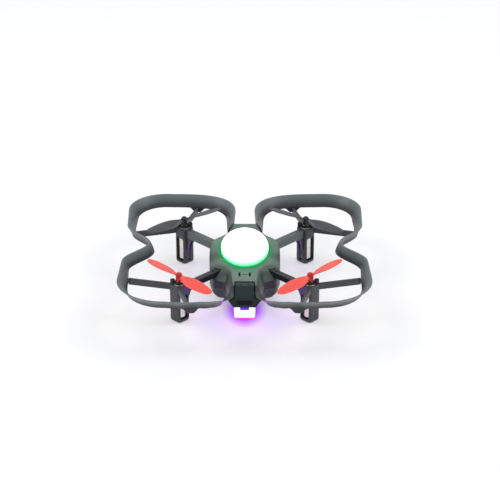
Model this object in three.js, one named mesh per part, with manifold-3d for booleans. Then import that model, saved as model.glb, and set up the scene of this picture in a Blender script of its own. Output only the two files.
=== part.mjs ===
// A palm-sized quadcopter with ribbon guards round its propellers.
// Millimetres, +Z up, nose towards -Y, origin on the ground under the middle of the body.

import * as THREE from 'three';
import { mergeVertices } from 'three/addons/utils/BufferGeometryUtils.js';
import Module from 'manifold-3d';

const wasm = await Module();
wasm.setup();

// ---------- driving dimensions ----------

const GAP = 0.3;
const ROUND = 20;
const DIAGONAL = Math.SQRT1_2;

const MOTOR_OFFSET = 37.5;
const MOTOR = { r: 3.5, bottom: 2.8, top: 23.6, bossR: 1.6, bossTop: 24.4, capR: 3.3 };
const SHAFT_HOLE = { r: 0.8, deep: 7 };
const SHAFT = { r: 0.5, bottom: 17.2, top: 28.9 };
const CLIP = { ring: 2.5, bar: 0.8, low: 23.9, ringTop: 24.9, ear: 1.4, earTop: 26, earPlace: 3.7 };
const POD = { side: 8.6, corner: 2, height: 23.3, floor: 1.2, bore: 3.8 };
const POD_WINDOW = { width: 6.2, bottom: 1.9, top: 17.1 };
const ARM = { bottom: 17.9, plate: 0.7, wall: 1, root: 1.2, plateRoot: 3.6, overlap: 0.4 };
const ARM_PIN = { r: 0.6, deep: 0.5, outer: -5.6, inner: 8.4 };
const LUG = { r: 2.4, drop: 2, hole: 1.1, column: 1.9 };
const GUSSET = { reach: 5.2, foot: 8, rise: 3, tip: 1.2, edge: 0.5 };
const SPOKE = { thick: 1.5, bottom: 19.6, top: 23.5, inset: 1.2, aside: 0.2 };
const LEAD = { wall: 4.2, low: 3.2, drop: 1.45, end: 18, past: 4.5, slot: 0.9, steps: 28 };
const WIRE = { halfWide: 0.6, halfThick: 0.28 };

const GUARD = { bottom: 23.3, top: 29.8, thick: 1.25, side: 69.6, post: 8.5, stations: 84 };
const GUARD_REAR = { root: 29.1, post: 46, corner: 49.6, end: 69.76, round: 20 };
const GUARD_FRONT = { root: -38.3, rootX: 7.3, corner: 44.8, end: -69.1, round: 25.1, lobe: [9.6, -51] };
const NOTCH = { y: 2.7, depth: 13.9, reach: 24, steps: 16 };
const FLARE = { notch: 1.8, growth: 1.6, flat: 5, reach: 60, root: 1, rootReach: 13 };
// Along the guard from its front root: how far its top comes down, and how tall its band is.
const ROOT_DROP = [[0, 7.4], [5, 9.2], [11, 9], [18, 6.3], [24, 3.9], [30, 1.7], [38, 0]];
const ROOT_HEIGHT = [[0, 1.8], [10, 1.9], [18, 4.4], [26, 5.8], [34, 6.5]];
const TAB = { top: 9.8, bottom: 3.9, low: 20.3, thick: 1.2, lap: 0.9, shoulder: 0.4 };
const TAB_PLACE = { side: 30.9, end: 29.7 };

const PROP = { r: 28.2, z: 28.2, hubR: 1.9, hubBottom: 25.2, hubTop: 30.4, bore: 0.8, boreTop: 29.2 };
const PROP_REST = { front: 48.5, rear: 141.4 };

const WALL = 1.3;
const PARTING = 13;
const PARTING_LINE = 0.3;
const DOME = { y: -3, r: 14.2, low: 22.8, rim: 28.9, top: 40.4, wall: 1.2 };
const DOME_BOARD = { r: 12, bottom: 23.2, top: 24.2, chips: 6, chipRing: 6.5, chipHalf: 1.3, chipTop: 25.2 };
const REFLECTOR = { low: 24.6, top: 28.2, inner: 11.2, outer: 12.2, rim: 12.6 };
const BATTERY = { half: 8.5, front: -9, rear: 28.4, bottom: 7.8, top: 15.4, soft: 1.4 };
const GRIP = { depth: 2.2, face: 29.6 };
const GRIP_RIBS = { half: 6, middle: 11.6, pitch: 2, thick: 1, face: 30.4 };
const CONNECTOR = { half: 5, front: -12.6, bottom: 9, top: 14.6, key: 2.5, keyHalf: 1, keyFront: -10.4 };
const BOARD = { bottom: 16.6, top: 17.6, chipTop: 18.5 };
const BUZZER = { r: 3.4, y: 14, top: 19.9 };
const SCREW = { headR: 1.4, headBottom: 13.6, seat: 15, shankR: 0.8, short: 0.2, drive: 0.9, slot: 0.3 };
const BUTTON = { x: 8.2, z: 19.4, halfX: 1.8, halfZ: 1.2, face: 29.4, rim: 27, stem: 0.65, back: 26.2 };
const USB = { half: 3.9, front: 22.4, rear: 28.5, bottom: 17.9, top: 20.7, wall: 0.5 };
const LATCH = { x: 3, halfWidth: 0.55, rear: -23.2, front: -28.4 };
const VENT = { x: 13, halfLong: 2, halfWide: 0.6, places: [-4, 0, 4] };
const FLOW = { y: -18, r: 2.8, module: 4.2, bottom: 7.6, top: 12 };
const FLOOR_SENSOR = { y: -29, halfX: 2.2, halfY: 1.1, bottom: 6.7, top: 8.9, clear: 0.3 };
const NOSE_LIGHT = { half: 4, front: -40.3, rear: -39.3, bottom: 7.8, top: 10.4 };
const NOSE_SENSOR = { half: 3.6, front: -44.6, rear: -41.6, bottom: 14.8, top: 17, eye: 0.9, eyePlace: 2 };

const BELLY = 6;
const BELLY_CORNER = 2.4;
const REAR_WALL = 25;
// Body sections from rear to front: place along Y, deck height, half-width of the flat deck,
// then the shoulder's and the wall top's place across and up, the belly height and, where the belly's
// edge is cut away more than elsewhere, its chamfer across and up.
const BODY = [
  { y: 28.8, deck: 29.8, flat: 6.9, shoulder: [10.4, 23.8], wall: [12.0, 22.6], belly: BELLY },
  { y: 17.4, deck: 29.8, flat: 6.9, shoulder: [10.4, 24.2], wall: [12.0, 22.8], belly: BELLY },
  { y: 15.6, deck: 29.8, flat: 9.4, shoulder: [11.0, 28.6], wall: [12.4, 26.5], belly: BELLY },
  { y: 6.6, deck: 29.8, flat: 17.6, shoulder: [18.9, 29.0], wall: [19.6, 27.4], belly: BELLY },
  { y: 2.0, deck: 29.8, flat: 18.6, shoulder: [20.0, 29.0], wall: [20.6, 27.2], belly: BELLY },
  { y: -4.0, deck: 27.9, flat: 18.2, shoulder: [20.2, 26.9], wall: [21.0, 24.6], belly: BELLY },
  { y: -9.0, deck: 26.2, flat: 14.0, shoulder: [17.5, 24.5], wall: [20.9, 21.4], belly: BELLY },
  { y: -14.0, deck: 24.5, flat: 9.9, shoulder: [15.0, 22.9], wall: [20.2, 20.8], belly: BELLY },
  { y: -18.0, deck: 23.3, flat: 8.4, shoulder: [12.5, 21.2], wall: [19.4, 18.8], belly: BELLY },
  { y: -22.0, deck: 23.1, flat: 7.8, shoulder: [11.0, 18.8], wall: [18.0, 17.1], belly: BELLY },
  { y: -24.4, deck: 23.1, flat: 7.5, shoulder: [10.8, 18.3], wall: [12.4, 16.9], belly: 6.1, chamfer: [3.4, 2.4] },
  { y: -28.0, deck: 23.1, flat: 7.3, shoulder: [10.6, 18.0], wall: [11.4, 16.9], belly: 6.4, chamfer: [4.9, 2.8] },
  { y: -34.4, deck: 23.2, flat: 7.0, shoulder: [9.8, 18.0], wall: [10.0, 17.0], belly: 7.2, chamfer: [3.8, 5.2] },
  { y: -38.0, deck: 22.5, flat: 6.7, shoulder: [8.6, 18.8], wall: [8.7, 17.2], belly: 8.5, chamfer: [2.7, 4.4] },
];
const NOSE_SLOT = { half: 5.9, start: -34.5, bottom: 13.7 };

// Nose visor sections: place along Y, then half-width and height at its top, middle and bottom.
const VISOR = [
  { y: -34.8, top: [5.4, 22.5], middle: [5.55, 19.0], bottom: [5.5, 14.0] },
  { y: -38.2, top: [5.4, 21.3], middle: [5.55, 18.4], bottom: [5.5, 14.0] },
  { y: -38.5, top: [5.4, 21.2], middle: [5.55, 18.3], bottom: [6.5, 12.5] },
  { y: -43.0, top: [5.3, 19.6], middle: [5.8, 17.3], bottom: [6.5, 12.4] },
  { y: -45.0, top: [5.2, 18.9], middle: [9.9, 17.2], bottom: [6.5, 12.4] },
  { y: -46.2, top: [4.9, 18.3], middle: [9.5, 16.9], bottom: [6.3, 12.4] },
];
const SENSOR = { half: 4.4, bottom: 14.2, top: 16.7, depth: 0.7 };
const VISOR_ROOM = { half: 3.9, front: -45, bottom: 14.5, top: 17.3 };
const VISOR_SIGHT = { half: 3.4, bottom: 14.7, top: 16.2 };
const LENS = { half: 6.5, halfLow: 5.8, top: 12.1, low: 4.7, front: -45.8, rear: -38.4, wall: 1.2 };
const LENS_CORNER = 1.5;
const LENS_NOTCH = { half: 2.6, deep: 1.6, back: 1, face: 1.6 };

// ---------- materials ----------

const surface = (metalness) => (color, roughness) => new THREE.MeshStandardMaterial({ color, roughness, metalness });
const plastic = surface(0);
const metal = surface(1);

const material = {
  shell: () => plastic(0x66716f, 0.5),
  arm: () => plastic(0x4c5054, 0.5),
  clip: () => plastic(0x111214, 0.5),
  frontPropeller: () => plastic(0xfd746f, 0.4),
  rearPropeller: () => plastic(0x545657, 0.4),
  dome: () => plastic(0xf4fff8, 0.3),
  reflector: () => plastic(0xf2f2ee, 0.6),
  visor: () => plastic(0x14181c, 0.2),
  window: () => plastic(0x050508, 0.1),
  lens: () => plastic(0xe9d8ff, 0.3),
  board: () => plastic(0x1f5a3a, 0.5),
  battery: () => plastic(0x2a2d33, 0.45),
  motor: () => metal(0xe6dfd4, 0.3),
  steel: () => metal(0xb9bcc0, 0.3),
  lead: () => plastic(0x8c1f24, 0.6),
};

// ---------- shape helpers ----------

function weld(geometry) {
  const bare = geometry.clone();
  bare.deleteAttribute('normal');
  bare.deleteAttribute('uv');
  return mergeVertices(bare, 1e-4);
}

function toSolid(geometry) {
  const welded = weld(geometry);
  const vertProperties = Float32Array.from(welded.attributes.position.array);
  const triVerts = Uint32Array.from(welded.index.array);
  return new wasm.Manifold(new wasm.Mesh({ numProp: 3, vertProperties, triVerts }));
}

function toGeometry(solid) {
  const mesh = solid.getMesh();
  const geometry = new THREE.BufferGeometry();
  geometry.setAttribute('position', new THREE.BufferAttribute(Float32Array.from(mesh.vertProperties), 3));
  geometry.setIndex(Array.from(mesh.triVerts));
  geometry.computeVertexNormals();
  return geometry;
}

function join(solids) {
  return solids.reduce((whole, solid) => whole.add(solid));
}

function cut(solid, tools) {
  return tools.reduce((left, tool) => left.subtract(tool), solid);
}

function box([x0, x1], [y0, y1], [z0, z1]) {
  const geometry = new THREE.BoxGeometry(x1 - x0, y1 - y0, z1 - z0);
  geometry.translate((x0 + x1) / 2, (y0 + y1) / 2, (z0 + z1) / 2);
  return toSolid(geometry);
}

// An upright cylinder or, with two radii, a cone.
function cylinder(r, [z0, z1], [x, y] = [0, 0], segments = ROUND, topR = r) {
  const geometry = new THREE.CylinderGeometry(topR, r, z1 - z0, segments);
  geometry.rotateX(Math.PI / 2);
  geometry.translate(x, y, (z0 + z1) / 2);
  return toSolid(geometry);
}

function prism(points, [z0, z1]) {
  const shape = new THREE.Shape(points.map(([x, y]) => new THREE.Vector2(x, y)));
  const geometry = new THREE.ExtrudeGeometry(shape, { depth: z1 - z0, bevelEnabled: false });
  geometry.translate(0, 0, z0);
  return toSolid(geometry);
}

// A body of revolution about Z. The profile holds [radius, height] pairs.
function lathe(profile, [x, y] = [0, 0], segments = ROUND) {
  const geometry = new THREE.LatheGeometry(profile.map(([r, z]) => new THREE.Vector2(r, z)), segments);
  geometry.rotateX(Math.PI / 2);
  geometry.translate(x, y, 0);
  return toSolid(facingOut(weld(geometry)));
}

function signedVolume(geometry) {
  const position = geometry.attributes.position;
  const index = geometry.index.array;
  const [a, b, c] = [new THREE.Vector3(), new THREE.Vector3(), new THREE.Vector3()];
  let volume = 0;
  for (let i = 0; i < index.length; i += 3) {
    a.fromBufferAttribute(position, index[i]);
    b.fromBufferAttribute(position, index[i + 1]);
    c.fromBufferAttribute(position, index[i + 2]);
    volume += a.dot(b.cross(c)) / 6;
  }
  return volume;
}

function facingOut(geometry) {
  if (signedVolume(geometry) > 0) return geometry;
  const index = Array.from(geometry.index.array);
  for (let i = 0; i < index.length; i += 3) [index[i], index[i + 1]] = [index[i + 1], index[i]];
  geometry.setIndex(index);
  return geometry;
}

// A closed skin over a row of rings that all have the same number of points.
// Each end is closed by a fan from the ring's middle.
function loft(rings) {
  const count = rings[0].length;
  const points = rings.flat();
  const index = [];
  for (let r = 0; r + 1 < rings.length; r += 1) {
    for (let i = 0; i < count; i += 1) {
      const a = r * count + i;
      const b = r * count + ((i + 1) % count);
      index.push(a, b, b + count, a, b + count, a + count);
    }
  }
  const closeEnd = (first, turned) => {
    const ring = points.slice(first, first + count);
    const middle = ring.reduce((sum, p) => sum.add(p), new THREE.Vector3()).divideScalar(count);
    points.push(middle);
    const hub = points.length - 1;
    for (let i = 0; i < count; i += 1) {
      const pair = [first + i, first + ((i + 1) % count)];
      index.push(...(turned ? [pair[1], pair[0], hub] : [pair[0], pair[1], hub]));
    }
  };
  closeEnd(0, true);
  closeEnd((rings.length - 1) * count, false);
  const geometry = new THREE.BufferGeometry().setFromPoints(points);
  geometry.setIndex(index);
  return toSolid(facingOut(geometry));
}

const model = new THREE.Group();

function addPart(name, solid, look) {
  const mesh = new THREE.Mesh(toGeometry(solid), look);
  mesh.name = name;
  model.add(mesh);
  return mesh;
}

// ---------- body ----------

// One section of the body, drawn in by an inset for the inner skin.
function bodyRing(section, inset) {
  const [shoulderX, shoulderZ] = section.shoulder;
  const [wallX, wallZ] = section.wall;
  const [cutAcross, cutUp] = section.chamfer ?? [BELLY_CORNER, BELLY_CORNER];
  const half = [
    [section.flat - inset * 0.6, section.deck - inset],
    [shoulderX - inset, shoulderZ - inset * 0.5],
    [wallX - inset, wallZ - inset * 0.5],
    [wallX - inset, section.belly + cutUp],
    [wallX - inset - cutAcross, section.belly + inset],
  ];
  const mirrored = half.map(([x, z]) => [-x, z]).reverse();
  return half.concat(mirrored).map(([x, z]) => new THREE.Vector3(x, section.y, z));
}

function bodyForm(inset) {
  const last = BODY.length - 1;
  return loft(BODY.map((section, i) => {
    const ends = (i === 0 ? -inset : 0) + (i === last ? inset : 0);
    return bodyRing({ ...section, y: section.y + ends }, inset);
  }));
}

const everywhere = [-60, 60];
const POD_SIDE_OF_BODY = 30;
const along = (sx, sy, u, v = 0) => [sx * DIAGONAL * (u - v), sy * DIAGONAL * (u + v)];

// A box laid along a diagonal arm, between two distances from the middle of the body.
function diagonalBox(sx, sy, [u0, u1], halfWidth, zRange) {
  const corners = [[u0, -halfWidth], [u1, -halfWidth], [u1, halfWidth], [u0, halfWidth]];
  const points = corners.map(([u, v]) => along(sx, sy, u, v));
  return prism(sx * sy > 0 ? points : points.reverse(), zRange);
}

// The four corners: which way each one lies, where its arm's lug sits, and its arm's width and top.
const FRONT_ARM = { front: true, sy: -1, lug: 17.8, width: 3.8, top: 21.3 };
const REAR_ARM = { front: false, sy: 1, lug: 15.8, width: 4.4, top: 22.4 };
const CORNERS = [
  { name: 'front_left', sx: 1, ...FRONT_ARM },
  { name: 'front_right', sx: -1, ...FRONT_ARM },
  { name: 'rear_left', sx: 1, ...REAR_ARM },
  { name: 'rear_right', sx: -1, ...REAR_ARM },
];

function armSlot({ sx, sy, lug, width, top }) {
  const heights = [ARM.bottom - GAP, top + GAP];
  const slot = diagonalBox(sx, sy, [lug - 1, POD_SIDE_OF_BODY], width / 2 + GAP, heights);
  return slot.add(cylinder(LUG.r + GAP, heights, along(sx, sy, lug)));
}

const outer = bodyForm(0);
const inner = bodyForm(WALL);
const hollow = outer.subtract(inner);
const noseSlot = box([-NOSE_SLOT.half, NOSE_SLOT.half], [-60, NOSE_SLOT.start], [NOSE_SLOT.bottom, 60]);

// An opening in the rear wall, a gap wider all round than the piece that fills it.
function rearOpening([x0, x1], [z0, z1]) {
  return box([x0 - GAP, x1 + GAP], [REAR_WALL, 60], [z0 - GAP, z1 + GAP]);
}

const batteryDoor = rearOpening([-BATTERY.half, BATTERY.half], [BATTERY.bottom, BATTERY.top]);

function topShell() {
  const usbHole = rearOpening([-USB.half, USB.half], [USB.bottom, USB.top]);
  const buttonHole = rearOpening(
    [BUTTON.x - BUTTON.halfX, BUTTON.x + BUTTON.halfX], [BUTTON.z - BUTTON.halfZ, BUTTON.z + BUTTON.halfZ]);
  const domeHole = cylinder(DOME.r + GAP, [DOME.low - GAP, 60], [0, DOME.y], 32);
  const latchSlots = [-LATCH.x, LATCH.x].map((x) =>
    box([x - LATCH.halfWidth, x + LATCH.halfWidth], [LATCH.front, LATCH.rear], [BOARD.top, 60]));
  const upper = hollow.intersect(box(everywhere, everywhere, [PARTING + PARTING_LINE / 2, 60]));
  const armSlots = CORNERS.map(armSlot);
  return cut(upper, [domeHole, noseSlot, batteryDoor, usbHole, buttonHole, ...latchSlots, ...armSlots]);
}

function bottomShell() {
  const lower = hollow.intersect(box(everywhere, everywhere, [0, PARTING - PARTING_LINE / 2]));
  const columnHeights = [BELLY + PARTING_LINE, ARM.bottom - GAP];
  const room = inner.add(lower);
  const columns = CORNERS.map(({ sx, sy, lug }) =>
    cylinder(LUG.column, columnHeights, along(sx, sy, lug), 16).intersect(room));
  const bores = CORNERS.map(({ sx, sy, lug }) =>
    cylinder(SCREW.headR + GAP, [0, SCREW.seat - GAP], along(sx, sy, lug), 12)
      .add(cylinder(SCREW.shankR + GAP, [0, ARM.bottom], along(sx, sy, lug), 12)));
  const flowHole = cylinder(FLOW.r, [0, FLOW.bottom], [0, FLOW.y]);
  const sensorX = FLOOR_SENSOR.halfX + FLOOR_SENSOR.clear;
  const sensorY = FLOOR_SENSOR.halfY + FLOOR_SENSOR.clear;
  const rangeHole = box(
    [-sensorX, sensorX], [FLOOR_SENSOR.y - sensorY, FLOOR_SENSOR.y + sensorY], [0, FLOOR_SENSOR.top]);
  const { halfLong, halfWide } = VENT;
  const cooling = [-VENT.x, VENT.x].flatMap((x) => VENT.places.map((y) =>
    box([x - halfLong, x + halfLong], [y - halfWide, y + halfWide], [0, BELLY + 2 * WALL])));
  return cut(join([lower, ...columns]), [...bores, batteryDoor, flowHole, rangeHole, ...cooling]);
}

// ---------- guards ----------

// The middle line of one guard in plan, rear root to front root: rear lobe, notch, front lobe.
function guardCurve() {
  const { post, side } = GUARD;
  const rear = GUARD_REAR;
  const front = GUARD_FRONT;
  const [lobeX, lobeY] = front.lobe;
  const path = new THREE.Path();
  path.moveTo(post, rear.root);
  path.lineTo(post, rear.post);
  path.bezierCurveTo(post + 0.5, rear.end + 2, post + 25.5, rear.end - 1, rear.corner, rear.end);
  path.absarc(rear.corner, rear.end - rear.round, rear.round, Math.PI / 2, 0, true);
  for (let i = 0; i <= NOTCH.steps; i += 1) {
    const away = NOTCH.reach * (1 - (2 * i) / NOTCH.steps);
    path.lineTo(side - NOTCH.depth * 0.5 * (1 + Math.cos((Math.PI * away) / NOTCH.reach)), NOTCH.y + away);
  }
  path.lineTo(side, front.end + front.round);
  path.absarc(front.corner, front.end + front.round, side - front.corner, 0, -Math.PI / 2, true);
  path.bezierCurveTo(front.corner - 17, front.end - 1.8, lobeX + 4.4, front.end - 2.2, lobeX, lobeY);
  path.bezierCurveTo(lobeX - 1.2, lobeY + 5.5, front.rootX, front.root - 4.2, front.rootX, front.root);
  return path;
}

// Reads a table of [place, value] pairs, in straight lines between its rows.
function tableAt(table, place) {
  const next = table.findIndex(([at]) => at > place);
  if (next < 0) return table[table.length - 1][1];
  const [[from, low], [to, high]] = [table[next - 1], table[next]];
  return low + ((high - low) * (place - from)) / (to - from);
}

// How far the band leans out of the upright, half its whole lean, at a place on the middle line.
function flareAt({ y }, fromFront) {
  const { clamp, smoothstep } = THREE.MathUtils;
  const open = FLARE.notch + FLARE.growth * smoothstep(Math.abs(y - NOTCH.y) - FLARE.flat, 0, FLARE.reach);
  return THREE.MathUtils.lerp(FLARE.root, open, clamp(fromFront / FLARE.rootReach, 0, 1));
}

// Stations along one guard: place, outward direction, lean, and the band's lower and upper edge.
function guardStations() {
  const path = guardCurve();
  const line = path.getSpacedPoints(GUARD.stations);
  const spacing = path.getLength() / GUARD.stations;
  return line.map((at, i) => {
    const before = line[Math.max(i - 1, 0)];
    const after = line[Math.min(i + 1, line.length - 1)];
    const way = after.clone().sub(before).normalize();
    const fromFront = (GUARD.stations - i) * spacing;
    const high = GUARD.top - tableAt(ROOT_DROP, fromFront);
    const low = high - tableAt(ROOT_HEIGHT, fromFront);
    return { at, out: new THREE.Vector2(-way.y, way.x), flare: flareAt(at, fromFront), low, high };
  });
}

const STATIONS = guardStations();

// The station where a tab hangs: on the guard's side, or on the end of one of its lobes.
function tabStation(onEnd, sy) {
  const far = GUARD.side - NOTCH.depth;
  const miss = ({ at }) => {
    const off = onEnd ? Math.abs(at.x - TAB_PLACE.end) : Math.abs(at.y - sy * TAB_PLACE.side);
    return off + ((onEnd ? at.y * sy : at.x) > far ? 0 : GUARD.side);
  };
  return STATIONS.reduce((best, station) => (miss(station) < miss(best) ? station : best));
}

function guardTab(onEnd, sy) {
  const { at, out, flare } = tabStation(onEnd, sy);
  const [wide, narrow] = [TAB.top / 2, TAB.bottom / 2];
  const [upper, shoulder] = [GUARD.bottom + TAB.lap, GUARD.bottom - TAB.shoulder];
  const corners = [
    [-wide, upper], [-wide, shoulder], [-narrow, TAB.low],
    [narrow, TAB.low], [wide, shoulder], [wide, upper],
  ];
  const shape = new THREE.Shape(corners.map(([x, z]) => new THREE.Vector2(x, z)));
  const geometry = new THREE.ExtrudeGeometry(shape, { depth: TAB.thick, bevelEnabled: false });
  geometry.rotateX(Math.PI / 2);
  geometry.translate(0, flare, 0);
  geometry.rotateZ(Math.atan2(-out.x, out.y) + Math.PI);
  geometry.translate(at.x, at.y, 0);
  return toSolid(geometry);
}

function guard() {
  const rings = STATIONS.map(({ at, out, flare, low, high }) => {
    const section = [[-flare, low], [GUARD.thick - flare, low], [flare, high], [flare - GUARD.thick, high]];
    return section.map(([off, z]) => new THREE.Vector3(at.x + out.x * off, at.y + out.y * off, z));
  });
  const tabs = [[true, 1], [false, 1], [false, -1], [true, -1]].map(([onEnd, sy]) => guardTab(onEnd, sy));
  return join([loft(rings), ...tabs]);
}

// ---------- motor arms ----------

// Built for the rear left corner with the motor axis at the origin and the arm running inwards
// along -X, then turned onto the diagonal.
function podForm() {
  const h = POD.side / 2;
  const c = POD.corner;
  const shape = new THREE.Shape();
  shape.moveTo(-h + c, -h);
  shape.lineTo(h - c, -h);
  shape.absarc(h - c, -h + c, c, -Math.PI / 2, 0, false);
  shape.absarc(h - c, h - c, c, 0, Math.PI / 2, false);
  shape.absarc(-h + c, h - c, c, Math.PI / 2, Math.PI, false);
  shape.absarc(-h + c, -h + c, c, Math.PI, (3 / 2) * Math.PI, false);
  const geometry = new THREE.ExtrudeGeometry(shape, { depth: POD.height, bevelEnabled: false, curveSegments: 3 });
  return toSolid(geometry);
}

function spoke(from, to) {
  const way = new THREE.Vector2(to[0] - from[0], to[1] - from[1]).normalize();
  const [nx, ny] = [-way.y * SPOKE.thick / 2, way.x * SPOKE.thick / 2];
  const points = [
    [from[0] - nx, from[1] - ny], [to[0] - nx, to[1] - ny], [to[0] + nx, to[1] + ny], [from[0] + nx, from[1] + ny],
  ];
  return prism(points, [SPOKE.bottom, SPOKE.top]);
}

// One upright web under the arm that runs down the pod's inner side.
function gusset(side, halfArm) {
  const inner = ARM.overlap - POD.side / 2;
  const corners = [
    [inner, GUSSET.foot], [inner, ARM.bottom + GUSSET.edge], [inner - GUSSET.reach, ARM.bottom + GUSSET.edge],
    [inner - GUSSET.reach, ARM.bottom], [inner - GUSSET.tip, GUSSET.foot + GUSSET.rise],
  ];
  const shape = new THREE.Shape(corners.map(([x, z]) => new THREE.Vector2(x, z)));
  const geometry = new THREE.ExtrudeGeometry(shape, { depth: ARM.wall, bevelEnabled: false });
  geometry.rotateX(Math.PI / 2);
  geometry.translate(0, side > 0 ? halfArm : -halfArm + ARM.wall, 0);
  return toSolid(geometry);
}

// The two thin struts from the pod to the guard's tabs.
function tabSpokes(sy) {
  const near = MOTOR_OFFSET + POD.side * DIAGONAL - SPOKE.inset;
  const beside = MOTOR_OFFSET - SPOKE.aside;
  return [false, true].map((onEnd) => {
    const { at, out, flare } = tabStation(onEnd, sy);
    const far = [at.x - out.x * (flare + GAP), sy * (at.y - out.y * (flare + GAP))];
    return spoke(onEnd ? [beside, near] : [near, beside], far);
  });
}

function motorArm({ sy, lug, width, top }) {
  const rootX = lug - Math.SQRT2 * MOTOR_OFFSET;
  const inward = ARM.overlap - POD.side / 2;
  const half = width / 2;
  const sides = [[-half, ARM.wall - half], [half - ARM.wall, half]].map((edges) =>
    box([rootX + ARM.root, inward], edges, [ARM.bottom, top]));
  const plate = box([rootX + ARM.plateRoot, inward], [-half, half], [top - ARM.plate, top]);
  const gussets = [-1, 1].map((side) => gusset(side, half));
  const lugDisc = cylinder(LUG.r, [ARM.bottom, top - LUG.drop], [rootX, 0]);
  const bore = cylinder(POD.bore, [POD.floor, 60], [0, 0], 20);
  const windows = box(
    [-POD_WINDOW.width / 2, POD_WINDOW.width / 2], [-POD.side, POD.side], [POD_WINDOW.bottom, POD_WINDOW.top]);
  const leadSlot = box([-POD.side, -1], [-LEAD.slot, LEAD.slot], [POD.floor + 0.6, top - ARM.plate]);
  const pins = [ARM_PIN.outer, rootX + ARM_PIN.inner].map((x) =>
    cylinder(ARM_PIN.r, [top - ARM_PIN.deep, top + 1], [x, 0], 10));
  const pod = cut(podForm(), [bore, windows]);
  const lugHole = cylinder(LUG.hole, [0, 60], [rootX, 0], 12);
  const turned = cut(join([pod, ...sides, plate, ...gussets, lugDisc]), [leadSlot, ...pins, bore, lugHole])
    .rotate([0, 0, 45]).translate([MOTOR_OFFSET, MOTOR_OFFSET, 0]);
  const clear = bore.translate([MOTOR_OFFSET, MOTOR_OFFSET, 0]);
  return cut(join([turned, ...tabSpokes(sy)]), [clear]);
}

// ---------- motors and propellers, each on its own axis at the origin ----------

function motorCan() {
  const can = cylinder(MOTOR.r, [MOTOR.bottom, MOTOR.top], [0, 0], 20);
  const boss = cylinder(MOTOR.bossR, [MOTOR.top - 1, MOTOR.bossTop]);
  const hole = cylinder(SHAFT_HOLE.r, [MOTOR.bossTop - SHAFT_HOLE.deep - 1, 60], [0, 0], 12);
  return can.add(boss).subtract(hole);
}

function motorEndCap() {
  return cylinder(MOTOR.capR, [POD.floor + GAP, MOTOR.bottom - GAP], [0, 0], 20);
}

// A small ring round the motor's boss, with a bar out to a round knob on each side.
function motorClip() {
  const ring = cylinder(CLIP.ring, [CLIP.low, CLIP.ringTop], [0, 0], 16);
  const bar = box([-CLIP.earPlace, CLIP.earPlace], [-CLIP.bar, CLIP.bar], [CLIP.low, CLIP.ringTop]);
  const ears = [-1, 1].map((side) => cylinder(CLIP.ear, [CLIP.low, CLIP.earTop], [side * CLIP.earPlace, 0], 12));
  return cut(join([ring, bar, ...ears]), [cylinder(MOTOR.bossR + GAP, [0, 60], [0, 0], 12)]);
}

function motorShaft() {
  return cylinder(SHAFT.r, [SHAFT.bottom, SHAFT.top], [0, 0], 12);
}

// Blade stations: place along the blade, chord, pitch in degrees, thickness.
const BLADE = [
  { at: 1.2, chord: 2.6, pitch: 24, thick: 1.3 },
  { at: 4.5, chord: 4.4, pitch: 21, thick: 1.2 },
  { at: 9.0, chord: 7.2, pitch: 16, thick: 1.0 },
  { at: 15.0, chord: 8.0, pitch: 12, thick: 0.9 },
  { at: 21.0, chord: 7.2, pitch: 9, thick: 0.8 },
  { at: 25.5, chord: 5.4, pitch: 8, thick: 0.7 },
  { at: 27.5, chord: 3.2, pitch: 7, thick: 0.6 },
  { at: PROP.r, chord: 1.2, pitch: 7, thick: 0.5 },
];

// One blade along +X whose leading edge faces +Y, for a turn that is anticlockwise from above.
function blade() {
  return loft(BLADE.map(({ at, chord, pitch, thick }) => {
    const tilt = THREE.MathUtils.degToRad(pitch);
    const section = [[0.5, 0], [0.2, 0.5], [-0.2, 0.4], [-0.5, 0], [-0.2, -0.3], [0.2, -0.4]];
    return section.map(([c, t]) => {
      const across = c * chord;
      const up = t * thick;
      return new THREE.Vector3(
        at, across * Math.cos(tilt) - up * Math.sin(tilt), PROP.z + across * Math.sin(tilt) + up * Math.cos(tilt));
    });
  }));
}

function propeller() {
  const hub = lathe([
    [0, PROP.hubBottom], [PROP.hubR, PROP.hubBottom], [PROP.hubR, PROP.hubTop - 1.3],
    [PROP.hubR * 0.8, PROP.hubTop - 0.5], [PROP.hubR * 0.4, PROP.hubTop - 0.1], [0, PROP.hubTop],
  ]);
  const blades = [0, 180].map((turn) => blade().rotate([0, 0, turn]));
  return cut(join([hub, ...blades]), [cylinder(PROP.bore, [0, PROP.boreTop], [0, 0], 12)]);
}

// A flat pair of wires: up the pod, then along the arm, over the lug and down to the board.
function motorLead({ lug, top }) {
  const far = lug - Math.SQRT2 * MOTOR_OFFSET - LEAD.past;
  const high = top - LEAD.drop;
  const wall = -LEAD.wall;
  const route = [
    [wall, LEAD.low], [wall, 8], [wall, 13], [wall, high - 2.6], [wall - 0.5, high - 0.85], [wall - 2.2, high - 0.05],
    [wall - 6, high], [wall - 14, high], [far + 6, high], [far + 1.6, high], [far + 0.4, high - 0.55],
    [far, high - 1.25], [far, LEAD.end],
  ];
  const curve = new THREE.CatmullRomCurve3(route.map(([x, z]) => new THREE.Vector3(x, 0, z)), false, 'centripetal');
  const { halfWide, halfThick } = WIRE;
  const outline = [
    [-halfWide, 0], [-halfWide * 0.6, -halfThick], [halfWide * 0.6, -halfThick],
    [halfWide, 0], [halfWide * 0.6, halfThick], [-halfWide * 0.6, halfThick],
  ];
  const shape = new THREE.Shape(outline.map(([x, y]) => new THREE.Vector2(x, y)));
  const geometry = new THREE.ExtrudeGeometry(
    shape, { steps: LEAD.steps, extrudePath: curve, bevelEnabled: false });
  return toSolid(facingOut(weld(geometry))).rotate([0, 0, 45]).translate([MOTOR_OFFSET, MOTOR_OFFSET, 0]);
}

// ---------- dome ----------

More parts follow.
